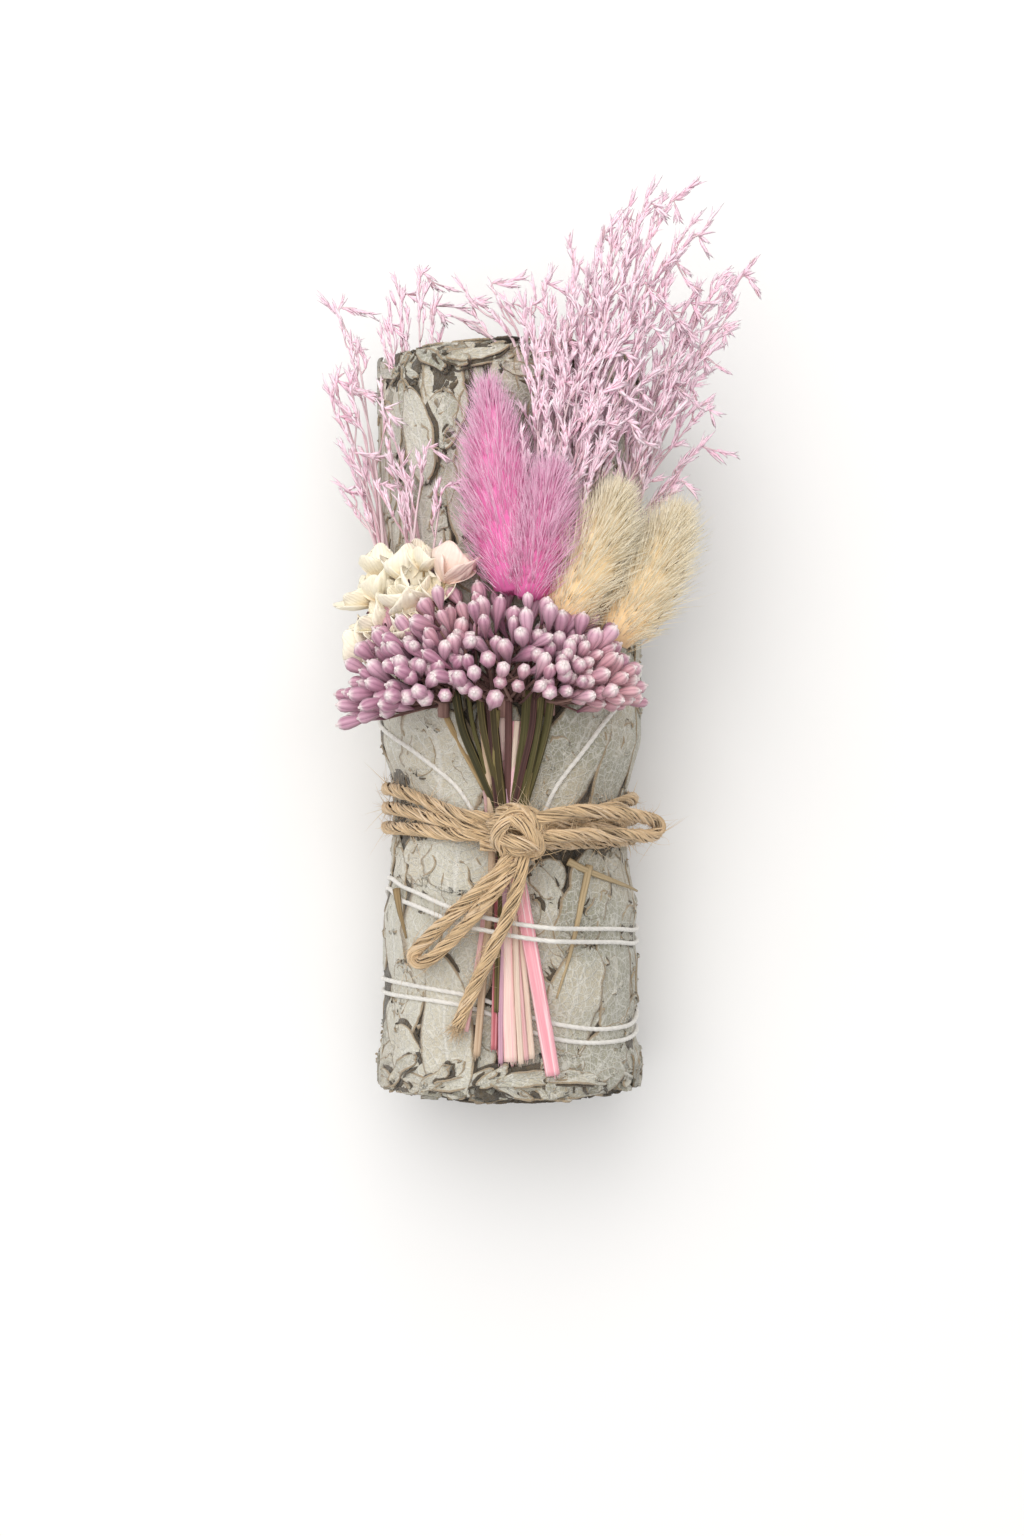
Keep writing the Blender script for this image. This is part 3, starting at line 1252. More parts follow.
LEFT_LOOP = [
    (0.2, -17.6, 41.2), (-1.6, -20.0, 41.7), (-4.6, -22.8, 41.0), (-7.4, -25.4, 39.4), (-10.0, -28.0, 37.2),
    (-12.0, -30.0, 35.4), (-12.9, -31.4, 34.8), (-12.0, -32.3, 35.4), (-10.0, -31.2, 37.0),
    (-7.0, -28.2, 39.2),
    (-4.2, -25.0, 41.0), (-1.4, -21.6, 41.9), (0.6, -18.6, 41.6),
]
RIGHT_LOOP = [
    (3.2, -13.0, 42.2), (6.4, -12.2, 41.6), (10.0, -11.9, 39.0), (14.0, -12.2, 35.2), (17.6, -12.8, 30.8),
    (19.8, -13.5, 27.8), (20.5, -14.5, 26.8), (19.2, -15.5, 28.6), (14.8, -15.2, 33.8), (10.0, -15.0, 38.4),
    (6.2, -15.2, 41.2), (3.0, -15.4, 42.0),
]
TAIL = [
    (1.6, -17.4, 41.4), (1.3, -20.6, 41.9), (0.2, -24.4, 41.6), (-1.8, -29.0, 40.8), (-3.9, -33.4, 39.6),
    (-5.5, -37.0, 38.4), (-6.9, -40.4, 37.4),
]


def knot_strands():
    """The routes of the twine inside the knot, which cross over one another."""
    x, y, z = KNOT_CENTRE
    z = z - 0.4
    over = [
        (-3.4, 0.6, -0.8), (-1.8, 1.6, 1.0), (0.4, 1.0, 2.2), (2.2, -0.8, 1.8), (2.8, -2.4, 0.2),
        (1.6, -3.2, -0.6),
    ]
    under = [
        (3.4, 0.2, -0.6), (2.2, 1.9, 0.6), (0.2, 2.4, 1.2), (-1.8, 1.0, 1.9), (-2.6, -1.0, 1.3),
        (-1.6, -2.8, 0.2),
    ]
    across = [(-3.0, -1.4, -0.2), (-1.4, -1.2, 1.6), (0.6, -1.6, 2.3), (2.4, -1.9, 1.0), (3.0, -1.6, -0.6)]
    top = [
        (-2.4, 2.2, -0.4), (-0.4, 2.8, 0.8), (1.8, 1.6, 1.4), (2.6, 0.0, 0.9), (2.2, -1.4, 1.4),
        (0.2, -2.6, 1.2), (-1.4, -2.2, 0.6),
    ]
    return [[(x + a, y + b, z + c) for a, b, c in way] for way in (over, under, across, top)]


def fibrous_cord(sheaf, route, radius, seed):
    """Loosely spun jute: many thin strands that wind round the route, each at its own pace."""
    rng = np.random.default_rng(seed)
    _, side, over = frames_along(route)
    run = np.concatenate([[0], np.cumsum(np.linalg.norm(np.diff(route, axis=0), axis=1))])
    outer = 30
    for strand in range(outer + 4):
        inner = strand >= outer
        phase = FULL_TURN * strand / (4 if inner else outer) + rng.uniform(-0.2, 0.2)
        wander = np.array([noise.noise(Vector((r / 4.0, strand * 3.7, seed))) for r in run])
        drift = np.array([noise.noise(Vector((r / 6.0, strand * 5.1, seed + 9))) for r in run])
        angle = FULL_TURN * run / rng.uniform(11.0, 14.5) + phase + 1.1 * drift
        away = radius * (0.3 if inner else 0.76) * (1 + 0.3 * wander)
        core = route + away[:, None] * (np.cos(angle)[:, None] * side + np.sin(angle)[:, None] * over)
        thickness = rng.uniform(0.07, 0.155) * radius * (1 + 0.25 * drift)
        wide, dark = (1.5, 0.4) if inner else (1, 1)
        tube(sheaf, core, thickness * wide, 5, rng.uniform(0, 1) * dark, uv_length=10)


def stray_fibres(sheaf, route, count, seed, reach=1.5):
    """Fine loose hairs that leave the twine in every direction, most of them nearly along it."""
    rng = np.random.default_rng(seed)
    along, side, over = frames_along(route)
    picks = rng.integers(1, len(route) - 1, count)
    turn = rng.uniform(0, FULL_TURN, count)
    out = np.cos(turn)[:, None] * side[picks] + np.sin(turn)[:, None] * over[picks]
    lean = (rng.uniform(0.4, 3.0, count) * rng.choice([-1, 1], count))[:, None]
    bases = route[picks] + out * TWINE_RADIUS * 0.75
    directions = out + along[picks] * lean
    lengths = reach * rng.gamma(2.0, 0.55, count)
    bends = rng.normal(0, 0.4, (count, 3))
    widths = rng.uniform(0.032, 0.064, count)
    hairs(sheaf, bases, directions, lengths, widths, bends, rng.uniform(0.5, 1, count), rings=4)


class SAGE_OT_windings(bpy.types.Operator):
    """Winds the cotton thread and the jute twine, and ties the bow"""

    bl_idname = "sage.windings"
    bl_label = "Thread and twine"

    def execute(self, context):
        thread = thread_finish()
        thread_radius = sizes().thread_diameter / MM / 2
        lower = wound_route(THREAD_LOWER, THREAD_LIFT, 0.35, top=38.9, half_width=6.0, bridge_from=640)
        upper = wound_route(THREAD_UPPER, THREAD_LIFT, 0.35)
        for name, route in (("lower_turns", lower), ("upper_turn", upper)):
            cord = Sheaf()
            plied(cord, route, thread_radius)
            keep(cord.piece(f"cotton_thread_{name}", thread), "cotton_thread", f"cotton_thread_{name[:5]}")

        twine = twine_finish()
        radius = sizes().twine_diameter / MM / 2
        cords = {
            "jute_wraps": ([twine_wraps_route()], "jute_twine_wraps"),
            "jute_bow_loop_left": ([smooth_route(LEFT_LOOP, 0.4)], "jute_twine_loop_left"),
            "jute_bow_loop_right": ([smooth_route(RIGHT_LOOP, 0.4)], "jute_twine_loop_right"),
            "jute_tail": ([smooth_route(TAIL, 0.4)], "jute_twine_tail"),
            "jute_knot": ([smooth_route(way, 0.4) for way in knot_strands()], "jute_twine_knot"),
        }
        fibres = Sheaf()
        for i, (name, (routes, node)) in enumerate(cords.items()):
            cord = Sheaf()
            for k, way in enumerate(routes):
                fibrous_cord(cord, way, radius, 300 + 10 * i + k)
                stray_fibres(fibres, way, int(len(way) * 3.0), 70 + 10 * i + k)
            keep(cord.piece(name, twine), "jute_twine", node)
        end = np.array(TAIL[-1])
        rng = np.random.default_rng(3)
        count = 150
        frays = unit(end - np.array(TAIL[-2])) + rng.normal(0, 0.34, (count, 3))
        lengths = rng.uniform(0.8, 2.8, count)
        starts = end + rng.normal(0, 0.4, (count, 3))
        hairs(fibres, starts, frays, lengths, 0.045, rng.normal(0, 0.3, (count, 3)), 0.8)
        keep(fibres.piece("jute_stray_fibres", twine), "jute_twine")
        return {"FINISHED"}


# ---- Allium heads ----

def allium_finish():
    c = colours()
    finish = Finish("Allium buds", roughness=0.5, Specular_IOR_Level=0.4, Sheen_Weight=0.2)
    around, along = finish.uv()
    tint = finish.tint()
    streaks = finish.noise(900, 3)
    warm = finish.noise(60, 2)
    mauve = finish.mix(tint, lighter(c.allium, -0.22), lighter(c.allium, 0.18))
    mauve = finish.mix(finish.step(warm, 0.45, 0.65) * 0.6, mauve, c.allium_warm)
    base = finish.mix(finish.step(along, 0.0, 0.42), srgb(132, 74, 92), mauve)
    ribs = abs(sine(around * (6 * math.pi)))
    groove = finish.step(ribs, 0.55, 0.0) * finish.step(along, 1.0, 0.8)
    body = finish.mix(groove * 0.34, base, lighter(c.allium, -0.55))
    pale = finish.step(ribs, 0.8, 1.0) * finish.step(along, 0.3, 0.7)
    body = finish.mix(pale * 0.2, body, srgb(244, 214, 222))
    reach = along + (tint - 0.5) * 0.1 + (streaks - 0.5) * 0.16
    body = finish.mix(finish.step(reach, 0.62, 0.86) * 0.92, body, srgb(252, 238, 236))
    finish.colour(body)
    finish.bump(ribs + streaks * 0.6, 0.14, 0.7)
    return finish.material


# Each umbel: where its stalks part, how far apart they start, the headings it fans through, its
# reach, and its height.
ALLIUM_HEADS = {
    "left": ((-8.8, 2.6, 36.6), 1.6, (-104, 24), (10.2, 13.6), 11.4),
    "centre": ((-1.0, 2.6, 38.0), 4.4, (-70, 66), (13.6, 19.0), 11.6),
    "right": ((5.2, 2.8, 37.4), 1.4, (-4, 96), (9.2, 12.6), 11.2),
}

BUD_SPACING = 2.2
MOST_TRIES = 9000

# A bud is narrow where its stalk ends, club-shaped, and has a small blunt tip. Each pair is a radius
# and a height, for a bud of length 1.
BUD_PROFILE = [
    (0, 0), (0.10, 0.01), (0.13, 0.14), (0.24, 0.34), (0.41, 0.56), (0.5, 0.74), (0.46, 0.87),
    (0.28, 0.965),
    (0.13, 0.99), (0.09, 1.04), (0, 1.05),
]


class SAGE_OT_alliums(bpy.types.Operator):
    """Makes the three heads of mauve buds on thin stalks"""

    bl_idname = "sage.alliums"
    bl_label = "Allium heads"

    def execute(self, context):
        buds_finish = allium_finish()
        stalks_finish = stem_finish("Allium stalks", srgb(176, 138, 128), srgb(104, 74, 70))
        bud = turned(BUD_PROFILE, 12, ribs=0.07)
        for number, (side, (hub, spread, headings, reach, height)) in enumerate(ALLIUM_HEADS.items()):
            rng = np.random.default_rng(90 + number)
            hub = np.array(hub)
            buds = Sheaf()
            stalks = Sheaf()
            placed = []
            wanted = sizes().buds
            tries = 0
            while len(placed) < wanted and tries < MOST_TRIES:
                tries += 1
                heading = math.radians(rng.uniform(*headings))
                rise = math.radians(96 * rng.uniform(0, 1) ** 1.05 - 8)
                level = rng.uniform(*reach)
                length = level + (height - level) * max(math.sin(rise), 0) ** 1.5
                length *= rng.uniform(0.84, 1.04)
                flat = math.cos(rise)
                way = np.array([math.sin(heading) * flat, math.cos(heading) * flat, math.sin(rise)])
                foot = hub + [rng.uniform(-1, 1) * spread, 0, 0]
                tip = foot + way * length
                if any(np.linalg.norm(tip - other) < BUD_SPACING for other in placed):
                    continue
                placed.append(tip)
                self.bud_on_stalk(buds, stalks, bud, foot, tip, way, rng)
            node = np.array([hub - [0, 2.0, 0.6], hub, hub + [0, 1.2, 0.5]])
            tube(stalks, node, 0.8, 10, 0.6, uv_length=20)
            keep(buds.piece(f"allium_buds_{side}", buds_finish), "allium_buds", f"allium_head_{side}")
            keep(stalks.piece(f"allium_stalks_{side}", stalks_finish), "green_stem")
        return {"FINISHED"}

    def bud_on_stalk(self, buds, stalks, bud, hub, tip, way, rng):
        size = rng.uniform(3.4, 5.6)
        width = rng.uniform(1.5, 2.25)
        direction = unit(way + rng.normal(0, 0.16, 3))
        foot = tip - direction * size
        put(buds, bud, foot, direction, size, width, rng.uniform(0, 1), rng.uniform(0, 6))
        middle = hub + (foot - hub) * 0.5 + rng.normal(0, 0.4, 3) - UP * 0.4
        route = smooth_route([hub, middle, foot + direction * 0.25], 2.0)
        tube(stalks, route, rng.uniform(0.14, 0.24), 5, rng.uniform(0, 1), uv_length=20)


# ---- Bunny tail grass ----

def tuft_finish(name, deep, body, pale):
    finish = Finish(name, roughness=0.7, Specular_IOR_Level=0.25)
    _, along = finish.uv()
    tint = finish.tint()
    root = finish.mix(finish.step(along, -0.05, 0.5), deep, body)
    tone = finish.mix(finish.step(along, 0.3, 0.95), root, pale)
    tone = finish.mix(finish.step(tint, 0.4, 1.0) * 0.5, tone, pale)
    finish.colour(tone)
    finish.bump(finish.noise(3000, 2), 0.05, 0.5)
    return finish.material


# Each head: its foot and tip, its widest radius, how far its hairs lean out, and how many dark seed
# specks show.
BUNNY_TAILS = {
    "pink_bunny_tail_tall": ((0.6, 16.4, 40.2), (-3.2, 46.2, 41.4), 5.6, 0.66, 0),
    "pink_bunny_tail_short": ((2.4, 15.6, 41.0), (6.0, 34.0, 43.4), 4.6, 0.72, 0),
    "cream_bunny_tail_inner": ((5.8, 12.4, 38.4), (15.2, 31.6, 40.0), 6.0, 0.78, 30),
    "cream_bunny_tail_outer": ((13.2, 10.4, 34.8), (23.6, 29.4, 35.2), 5.7, 0.78, 24),
}


class SAGE_OT_bunny_tails(bpy.types.Operator):
    """Makes the soft heads of bunny tail grass, hair by hair"""

    bl_idname = "sage.bunny_tails"
    bl_label = "Bunny tails"

    def execute(self, context):
        c = colours()
        finishes = {
            "pink": tuft_finish("Pink tuft", srgb(232, 116, 178), c.pink, lighter(c.pink, 0.5)),
            "cream": tuft_finish("Cream tuft", srgb(255, 222, 172), c.cream, lighter(c.cream, 0.3)),
        }
        seeds_finish = stem_finish("Seed specks", srgb(168, 132, 84), srgb(104, 72, 44))
        for number, (name, head) in enumerate(BUNNY_TAILS.items()):
            base, tip, widest, lean, specks = head
            kind = name.split("_")[0]
            rng = np.random.default_rng(130 + number)
            base, tip = np.array(base), np.array(tip)
            length = np.linalg.norm(tip - base)
            axis = (tip - base) / length
            side = unit(np.cross(axis, UP))
            over = np.cross(side, axis)
            tuft = Sheaf()
            profile = [(0, 0)]
            for t in np.linspace(0.03, 0.86, 9):
                profile.append((0.7 * widest * self.envelope(t), t * length * 0.94))
            profile.append((0, length * 0.88))
            points, faces, uvs = turned(profile, 14)
            put(tuft, (points, faces, np.array(uvs) * [1, 0.3]), base, axis, tint=0.3)
            count = sizes().hairs
            t = rng.uniform(0, 1, count) ** 0.9
            turn = rng.uniform(0, FULL_TURN, count)
            out = np.cos(turn)[:, None] * side + np.sin(turn)[:, None] * over
            reach = widest * self.envelope(t)
            start = base + axis * (t * length * 0.88)[:, None] + out * (reach * 0.4)[:, None]
            locks = ripple(np.stack([turn * 2.2, t * length * 0.6, 0 * t], -1), 1.6, number) * 0.3
            spread = (lean * (1.2 - 0.8 * t) * rng.uniform(0.65, 1.35, count) + 0.7 * locks)[:, None]
            directions = axis + out * spread * 1.35
            hair_length = (0.55 * reach + 2.6) * rng.uniform(0.5, 1.3, count)
            bends = axis * rng.uniform(0.0, 0.3, count)[:, None] + rng.normal(0, 0.11, (count, 3))
            tints = np.clip(rng.uniform(0, 1, count) + locks, 0, 1)
            hairs(tuft, start, directions, hair_length, rng.uniform(0.055, 0.1, count), bends, tints)
            wisps = count // 8
            wisp_out = out[:wisps]
            wisp_start = start[:wisps] + wisp_out * (reach[:wisps] * 0.45)[:, None]
            wisp_way = axis + wisp_out * rng.uniform(0.3, 1.0, wisps)[:, None]
            wisp_length = rng.uniform(2.5, 4.6, wisps)
            hairs(tuft, wisp_start, wisp_way, wisp_length, 0.052, rng.normal(0, 0.16, (wisps, 3)), 0.9)
            keep(tuft.piece(f"{name}_tuft", finishes[kind]), f"{kind}_tuft", f"{name}_head")
            if specks:
                seeds = Sheaf()
                near = rng.uniform(-1.3, 1.3, specks)
                at = rng.uniform(0.15, 0.8, specks)
                outward = np.sin(near)[:, None] * side + np.cos(near)[:, None] * over
                far = (widest * self.envelope(at) * 0.93)[:, None]
                places = base + axis * (at * length)[:, None] + outward * far
                lengths = rng.uniform(0.6, 1.3, specks)
                hairs(seeds, places, axis + outward * 0.3, lengths, 0.07, 0 * places, 0.3)
                keep(seeds.piece(f"{name}_specks", seeds_finish), f"{kind}_tuft")
        return {"FINISHED"}

    def envelope(self, t):
        """How wide the head is along its length: full low down, drawn out at the tip."""
        return np.sin(math.pi * np.clip(0.07 + 0.93 * np.asarray(t), 0, 1) ** 0.74) ** 0.7


# ---- Pink sprays ----

def floret_finish():
    c = colours()
    finish = Finish("Dyed florets", roughness=0.8, Specular_IOR_Level=0.2)
    _, along = finish.uv()
    tint = finish.tint()
    clouds = finish.noise(140, 2)
    deep = finish.mix(finish.step(clouds, 0.35, 0.65), srgb(255, 198, 221), srgb(255, 219, 232))
    tone = finish.mix(finish.step(along, -0.1, 0.6), deep, c.spray)
    tone = finish.mix(finish.step(along, 0.5, 1.0) * 0.55, tone, lighter(c.spray, 0.5))
    tone = finish.mix(finish.step(tint, 0.55, 1.0) * 0.75, tone, lighter(c.spray, 0.62))
    tone = finish.mix(finish.step(tint, 0.07, 0.01) * 0.7, tone, srgb(200, 156, 160))
    finish.colour(tone)
    finish.bump(finish.noise(2600, 2), 0.08, 0.6)
    return finish.material


# Each spray: where its branches part, how thick with bracts it is, and the tips of its branches.
SPRAYS = {
    "pink_sprig_right_1": {
        "base": (7.0, 13.0, 35.0),
        "fill": 1.0,
        "tips": [
            (4.6, 56.4, 41.0), (8.5, 58.6, 42.5), (11.7, 61.9, 43.0), (14.3, 64.6, 43.0),
            (17.6, 66.4, 43.0),
            (20.8, 67.2, 42.0), (23.6, 62.9, 42.0), (20.2, 59.2, 43.5), (16.9, 56.0, 44.0),
            (13.0, 55.0, 44.5),
            (9.4, 52.0, 44.0), (17.6, 50.6, 43.5), (13.4, 47.2, 44.5), (20.6, 53.0, 40.0),
        ],
    },
    "pink_sprig_right_2": {
        "base": (13.0, 14.0, 30.5),
        "fill": 0.85,
        "tips": [
            (23.2, 54.7, 39.0), (27.4, 57.3, 38.0), (30.4, 58.6, 37.0), (28.0, 52.1, 36.5),
            (25.0, 48.6, 36.0),
            (26.1, 41.7, 33.0), (25.4, 37.0, 31.0), (22.6, 32.6, 30.5), (21.0, 44.6, 38.0),
            (19.2, 39.0, 38.0),
            (22.4, 50.4, 38.5), (24.0, 44.6, 34.0),
        ],
    },
    "pink_sprig_right_3": {
        "base": (4.6, 15.0, 37.0),
        "fill": 1.0,
        "tips": [
            (2.8, 54.0, 41.0), (5.0, 50.6, 42.0), (3.4, 47.2, 42.5), (7.2, 48.6, 43.5), (3.8, 42.8, 43.0),
            (6.6, 43.4, 44.0), (9.8, 45.6, 44.5), (10.6, 41.0, 44.0), (13.0, 43.0, 43.5), (8.4, 38.6, 43.5),
            (14.8, 38.8, 42.5), (11.8, 36.4, 42.5), (16.2, 42.6, 42.0),
        ],
    },
    "pink_sprig_left_1": {
        "base": (-16.6, 17.0, 28.0),
        "fill": 0.3,
        "tips": [
            (-23.9, 57.4, 22.5), (-22.2, 52.4, 23.0), (-24.4, 47.4, 24.0), (-23.6, 42.0, 25.5),
            (-21.8, 45.6, 26.0),
            (-21.6, 36.6, 28.4), (-23.0, 31.6, 27.0),
        ],
    },
    "pink_sprig_left_2": {
        "base": (-11.6, 14.0, 34.6),
        "fill": 0.22,
        "tips": [
            (-12.3, 61.4, 27.0), (-14.8, 58.2, 27.0), (-10.6, 56.6, 28.0), (-16.8, 54.0, 28.0),
            (-17.0, 42.0, 33.0),
            (-14.6, 33.6, 35.6), (-11.0, 36.0, 37.4), (-17.8, 31.6, 33.4), (-8.8, 30.6, 38.4),
        ],
    },
    "pink_strands_behind": {
        "base": (1.4, 45.6, 36.4),
        "fill": 0.3,
        "tips": [(-5.4, 56.2, 35.0), (-2.6, 58.2, 35.6), (0.4, 55.4, 36.6), (-7.8, 54.2, 34.6)],
    },
}


TWIG_SPACING = 5  # points of a branch from one side twig to the next


class SAGE_OT_sprays(bpy.types.Operator):
    """Makes the feathery sprays of dyed florets"""

    bl_idname = "sage.sprays"
    bl_label = "Pink sprays"

    def execute(self, context):
        bracts_finish = floret_finish()
        twigs_finish = stem_finish("Dyed twigs", srgb(255, 230, 234), srgb(240, 186, 200))
        for number, (name, spray) in enumerate(SPRAYS.items()):
            self.rng = np.random.default_rng(170 + number)
            self.bracts = []
            self.twigs = Sheaf()
            base = np.array(spray["base"])
            for tip in spray["tips"]:
                self.branch(base + self.rng.normal(0, [1.0, 1.6, 0.5]), np.array(tip), spray["fill"])
            places, ways, lengths, widths, bends, tints = (np.array(each) for each in zip(*self.bracts))
            feathers = Sheaf()
            hairs(feathers, places, ways, lengths, widths, bends, tints, rings=3, swell=BRACT_SWELL)
            node = [name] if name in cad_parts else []
            keep(self.twigs.piece(f"{name}_twigs", twigs_finish), "pink_florets")
            keep(feathers.piece(f"{name}_florets", bracts_finish), "pink_florets", *node)
        return {"FINISHED"}

    def branch(self, start, tip, fill):
        """A branch that leaves the posy steeply, leans over to its tip and carries side twigs."""
        rng = self.rng
        reach = np.linalg.norm(tip - start)
        rise = start + (tip - start) * [0.30, 0.5, 0.62] + rng.normal(0, 0.5, 3)
        lean = start + (tip - start) * [0.68, 0.8, 0.92] + rng.normal(0, 0.35, 3)
        droop = tip + np.array([rng.uniform(0.4, 2.0), rng.uniform(-0.9, 0.2), -0.2])
        branch = smooth_route([start, rise, lean, tip, droop], 0.7)
        tube(self.twigs, branch, np.linspace(0.27, 0.1, len(branch)), 5, rng.uniform(0.3, 1), uv_length=20)
        along = unit(np.gradient(branch, axis=0))
        total = len(branch)
        self.feather(branch[int(total * 0.8) :], 1.25 + 0.5 * fill)
        first = int(total * 0.34)
        for k in range(first, total - 1, TWIG_SPACING):
            share = (k - first) / (total - first)
            if fill < 0.5 and rng.uniform() < 0.35:
                continue
            flank = rng.choice([-1, 1])
            sideways = unit(np.cross(along[k], UP)) * flank + UP * rng.uniform(-0.6, 0.9)
            way = unit(along[k] + sideways * rng.uniform(0.14, 0.36))
            length = max(rng.uniform(0.08, 0.24) * reach * (1.15 - share), 2.4)
            bend = rng.normal(0, 0.12, 3) * length
            end = branch[k] + way * length + along[k] * length * 0.3
            twig = smooth_route([branch[k], branch[k] + way * length * 0.55 + bend, end], 0.55)
            tube(self.twigs, twig, np.linspace(0.14, 0.07, len(twig)), 4, rng.uniform(0.4, 1), uv_length=20)
            self.feather(twig[int(len(twig) * rng.uniform(0.25, 0.5)) :], fill)

    def feather(self, twig, fill):
        """Narrow bracts all along a twig, and a tuft of longer ones at its end."""
        rng = self.rng
        along = unit(np.gradient(twig, axis=0))
        side = unit(np.cross(along, UP))
        for k in range(len(twig)):
            for turn in rng.uniform(0, FULL_TURN, rng.poisson(1.0 + 1.3 * fill)):
                out = side[k] * math.cos(turn) + UP * math.sin(turn)
                way = along[k] + out * rng.uniform(0.05, 0.22)
                self.bract(twig[k], way, rng.uniform(1.1, 2.4), rng.uniform(0.11, 0.23))
        for turn in rng.uniform(0, FULL_TURN, rng.integers(3, 7)):
            out = side[-1] * math.cos(turn) + UP * math.sin(turn)
            way = along[-1] + out * rng.uniform(0.05, 0.3)
            self.bract(twig[-1], way, rng.uniform(1.2, 2.6), rng.uniform(0.12, 0.24))

    def bract(self, place, way, length, width):
        rng = self.rng
        shift = rng.normal(0, 0.06, 3)
        bend = rng.normal(0, 0.16, 3)
        self.bracts.append((place + shift, way, length, width, bend, rng.uniform(0, 1)))


# ---- Cream florets ----

def petal_finish():
    c = colours()
    finish = Finish("Papery petals", roughness=0.5, Specular_IOR_Level=0.35)
    across, along = finish.uv()
    tint = finish.tint()
    clouds = finish.noise(420, 3)
    crinkle = finish.noise(900, 3)
    veined = abs(sine(across * 30.0 + clouds * 5.0))
    tone = finish.mix(finish.step(along, -0.1, 0.5), srgb(255, 234, 200), c.petal)
    tone = finish.mix(finish.step(tint, 0.82, 0.9) * 0.7, tone, srgb(252, 218, 208))
    tone = finish.mix(finish.step(clouds, 0.45, 0.7) * 0.45, tone, lighter(c.petal, 0.55))
    tone = finish.mix(finish.step(veined, 0.3, 0.0) * 0.22, tone, lighter(c.petal, -0.3))
    freckles = finish.step(crinkle, 0.69, 0.74) * finish.step(along, 0.6, 0.2)
    tone = finish.mix(freckles * 0.7, tone, srgb(150, 104, 78))
    finish.colour(tone)
    finish.bump(clouds + veined * 0.25, 0.3, 0.7)
    return finish.material


# Each floret: the middle of its rim, and how long its petals are.
FLORETS = [
    (-22.0, 18.4, 32.0, 4.2), (-22.4, 11.4, 32.0, 4.6), (-17.8, 20.6, 34.5, 4.8), (-19.6, 15.2, 35.6, 4.4),
    (-19.4, 8.6, 35.0, 4.4),
    (-14.4, 23.0, 36.8, 4.6), (-15.4, 18.2, 38.0, 4.8), (-12.4, 19.6, 39.2, 4.6), (-11.2, 15.4, 40.4, 4.2),
    (-7.0, 22.6, 40.6, 4.9),
    (-9.4, 19.0, 41.0, 4.2), (-16.6, 13.4, 38.2, 4.4), (-13.6, 13.8, 40.0, 4.2), (-10.4, 23.6, 38.8, 4.2),
    (-18.8, 23.2, 32.6, 3.8),
]

PINKISH_FLORET = 9


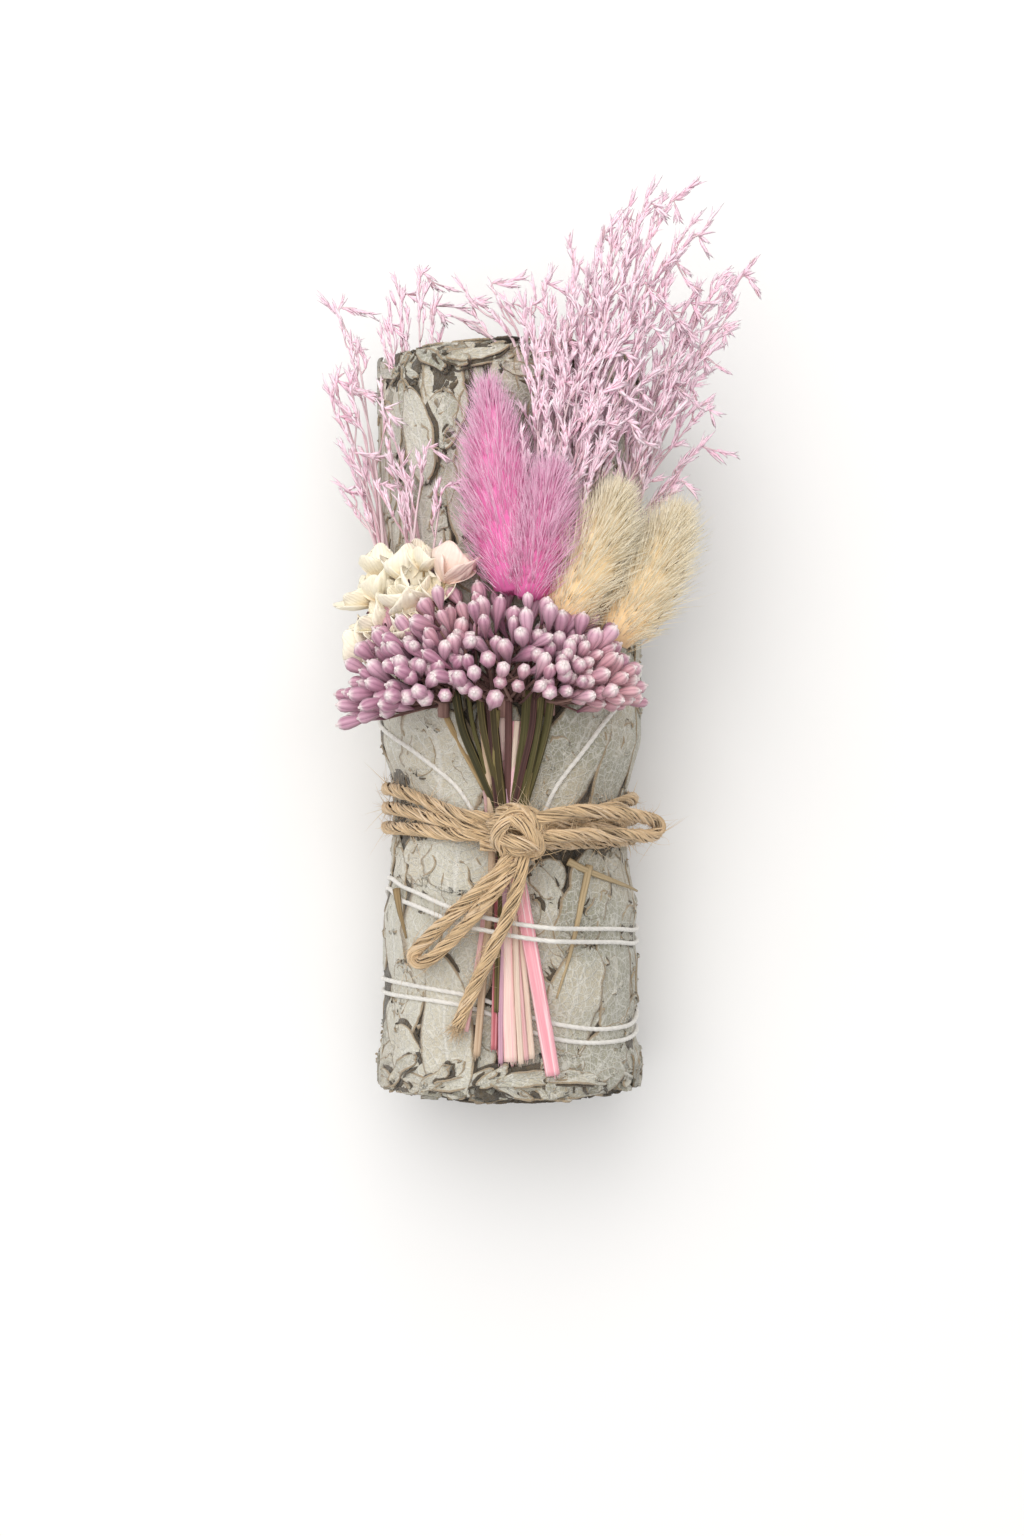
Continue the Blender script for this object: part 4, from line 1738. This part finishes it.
class SAGE_OT_cream_florets(bpy.types.Operator):
    """Makes the papery cream florets, each a cup of round petals"""

    bl_idname = "sage.cream_florets"
    bl_label = "Cream florets"

    def execute(self, context):
        material = petal_finish()
        rng = np.random.default_rng(210)
        petals = Sheaf()
        stalks = Sheaf()
        stem = smooth_route([(-3.3, -9.1, 34.9), (-8.2, 0, 35.2), (-12.2, 9, 35.4)], 1.0)
        tube(stalks, stem, 0.42, 8, 0.5, uv_length=20)
        hub = stem[-1]
        for number, (x, y, z, size) in enumerate(FLORETS):
            rim = np.array([x, y, z], float)
            way = unit(unit(rim - hub) + [0, 0.15, 0.25] + rng.normal(0, 0.16, 3))
            foot = rim - way * size
            middle = (hub + foot) / 2 + rng.normal(0, 0.5, 3)
            route = smooth_route([hub, middle, foot + way * 0.4], 1.0)
            tube(stalks, route, 0.17, 5, rng.uniform(0, 1), uv_length=20)
            tint = 0.95 if number == PINKISH_FLORET else rng.uniform(0, 0.78)
            self.cup(petals, foot, way, size, tint, rng)
        piece = petals.piece("cream_floret_petals", material)
        thicken(piece, PETAL_THICKNESS)
        keep(piece, "cream_petals", "cream_floret_sprig")
        straw = stem_finish("Floret stalks", srgb(214, 188, 142), srgb(150, 116, 74))
        keep(stalks.piece("cream_floret_stalks", straw), "cream_petals")
        bits = Sheaf()
        for x, y, z, size in FLORETS[3:13:2]:
            places = np.array([x, y - 0.45 * size, z + 0.5]) + rng.normal(0, 0.7, (3, 3))
            ways = rng.normal(0, 1, (3, 3))
            hairs(bits, places, ways, rng.uniform(0.6, 1.3, 3), 0.2, 0 * ways, 0.5, swell=BRACT_SWELL)
        dark = stem_finish("Dark husks", srgb(120, 78, 84), srgb(66, 44, 58))
        keep(bits.piece("cream_floret_husks", dark), "cream_petals")
        return {"FINISHED"}

    def cup(self, sheaf, foot, way, size, tint, rng):
        """Two to four round petals that stand round the foot and open upwards."""
        side = unit(np.cross(way, UP + [0.2, 0.1, 0]))
        over = np.cross(side, way)
        count = rng.integers(2, 5)
        rows, columns = 12, 11
        v = np.linspace(0.02, 1, rows)[:, None]
        u = np.linspace(-1, 1, columns)[None]
        first = rng.uniform(0, FULL_TURN)
        for petal in range(count):
            turn = first + FULL_TURN * (petal + rng.uniform(-0.2, 0.2)) / count
            out = math.cos(turn) * side + math.sin(turn) * over
            across = -math.sin(turn) * side + math.cos(turn) * over
            length = size * rng.uniform(0.95, 1.28)
            width = length * rng.uniform(0.44, 0.6) * np.sin(math.pi * (0.03 + 0.8 * v)) ** 0.8
            opening = rng.uniform(0.28, 0.75)
            rounded = np.sqrt(np.clip(1 - (u * 0.75) ** 2 * v**3, 0, 1))
            reach = length * (math.sin(opening) * v**1.2 + 0.16 * np.sin(v * math.pi))
            reach = reach - 0.55 * np.abs(u) ** 2.2 * width
            rise = length * (math.cos(opening) * v * rounded)
            seed = rng.uniform(0, 100)
            flat = np.stack([u * width + 0 * v, v * length + 0 * u, 0 * u * v + seed], -1).reshape(-1, 3)
            crinkle = ripple(flat, 1.8, seed).reshape(rows, columns) * 0.22 * v
            reach = reach + crinkle
            net = foot + out * reach[..., None] + across * (u * width)[..., None] + way * rise[..., None]
            faces, uvs = weave(rows, columns)
            sheaf.add(net, faces, uvs, tint)


# ---- Stage ----

class SAGE_OT_stage(bpy.types.Operator):
    """Lays the pale table, and sets the lights and the camera"""

    bl_idname = "sage.stage"
    bl_label = "Stage"

    def execute(self, context):
        scene = context.scene
        bpy.ops.mesh.primitive_plane_add(size=TABLE_SIDE, location=(0, 0, 0))
        table = context.active_object
        table.name = "pale_table"
        surface = Finish("Pale table", roughness=0.95, Specular_IOR_Level=0.1)
        surface.shader.inputs["Base Color"].default_value = TABLE_COLOUR
        table.data.materials.append(surface.material)
        table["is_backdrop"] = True
        world = bpy.data.worlds.new("Soft studio")
        world.use_nodes = True
        world.node_tree.nodes["Background"].inputs["Color"].default_value = (1, 1, 1, 1)
        world.node_tree.nodes["Background"].inputs["Strength"].default_value = WORLD_LIGHT
        scene.world = world
        lamp_data = bpy.data.lights.new("Softbox", "AREA")
        lamp_data.energy = SOFTBOX_WATTS
        lamp_data.size = SOFTBOX_SIDE
        lamp_data.color = SOFTBOX_COLOUR
        lamp = bpy.data.objects.new("Softbox", lamp_data)
        lamp.location = SOFTBOX_PLACE
        lamp.rotation_euler = (Vector(LIT_PLACE) - lamp.location).to_track_quat("-Z", "Y").to_euler()
        scene.collection.objects.link(lamp)
        camera_data = bpy.data.cameras.new("Camera")
        camera_data.lens = CAMERA_LENS
        camera_data.sensor_width = 36
        camera_data.clip_start = 0.01
        camera = bpy.data.objects.new("Camera", camera_data)
        camera.location = CAMERA_PLACE
        scene.collection.objects.link(camera)
        scene.camera = camera
        scene.view_settings.view_transform = "Standard"
        return {"FINISHED"}


OPERATORS = (
    SAGE_OT_stage,
    SAGE_OT_rolled_inside,
    SAGE_OT_leaves,
    SAGE_OT_stems,
    SAGE_OT_windings,
    SAGE_OT_alliums,
    SAGE_OT_bunny_tails,
    SAGE_OT_sprays,
    SAGE_OT_cream_florets,
)


class SAGE_PT_panel(bpy.types.Panel):
    """Lists the pieces of the sage bundle"""

    bl_idname = "SAGE_PT_panel"
    bl_label = "Sage bundle"
    bl_space_type = "VIEW_3D"
    bl_region_type = "UI"
    bl_category = "Sage"

    def draw(self, context):
        for name in SageSizes.__annotations__:
            self.layout.prop(context.scene.sage_sizes, name)
        for name in SageColours.__annotations__:
            self.layout.prop(context.scene.sage_colours, name)
        for operator in OPERATORS:
            self.layout.operator(operator.bl_idname)


CLASSES = (SageColours, SageSizes, *OPERATORS, SAGE_PT_panel)


def register():
    for made in CLASSES:
        bpy.utils.register_class(made)
    bpy.types.Scene.sage_colours = PointerProperty(type=SageColours)
    bpy.types.Scene.sage_sizes = PointerProperty(type=SageSizes)


def unregister():
    del bpy.types.Scene.sage_sizes
    del bpy.types.Scene.sage_colours
    for made in reversed(CLASSES):
        bpy.utils.unregister_class(made)


def main():
    register()
    bpy.ops.object.select_all(action="DESELECT")
    for operator in OPERATORS:
        group, name = operator.bl_idname.split(".")
        getattr(getattr(bpy.ops, group), name)()
    sides = {"cad": cad_box, "visual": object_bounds()}
    {key: [list(map(float, corner)) for corner in value] for key, value in sides.items()}


if __name__ == "__main__":
    main()
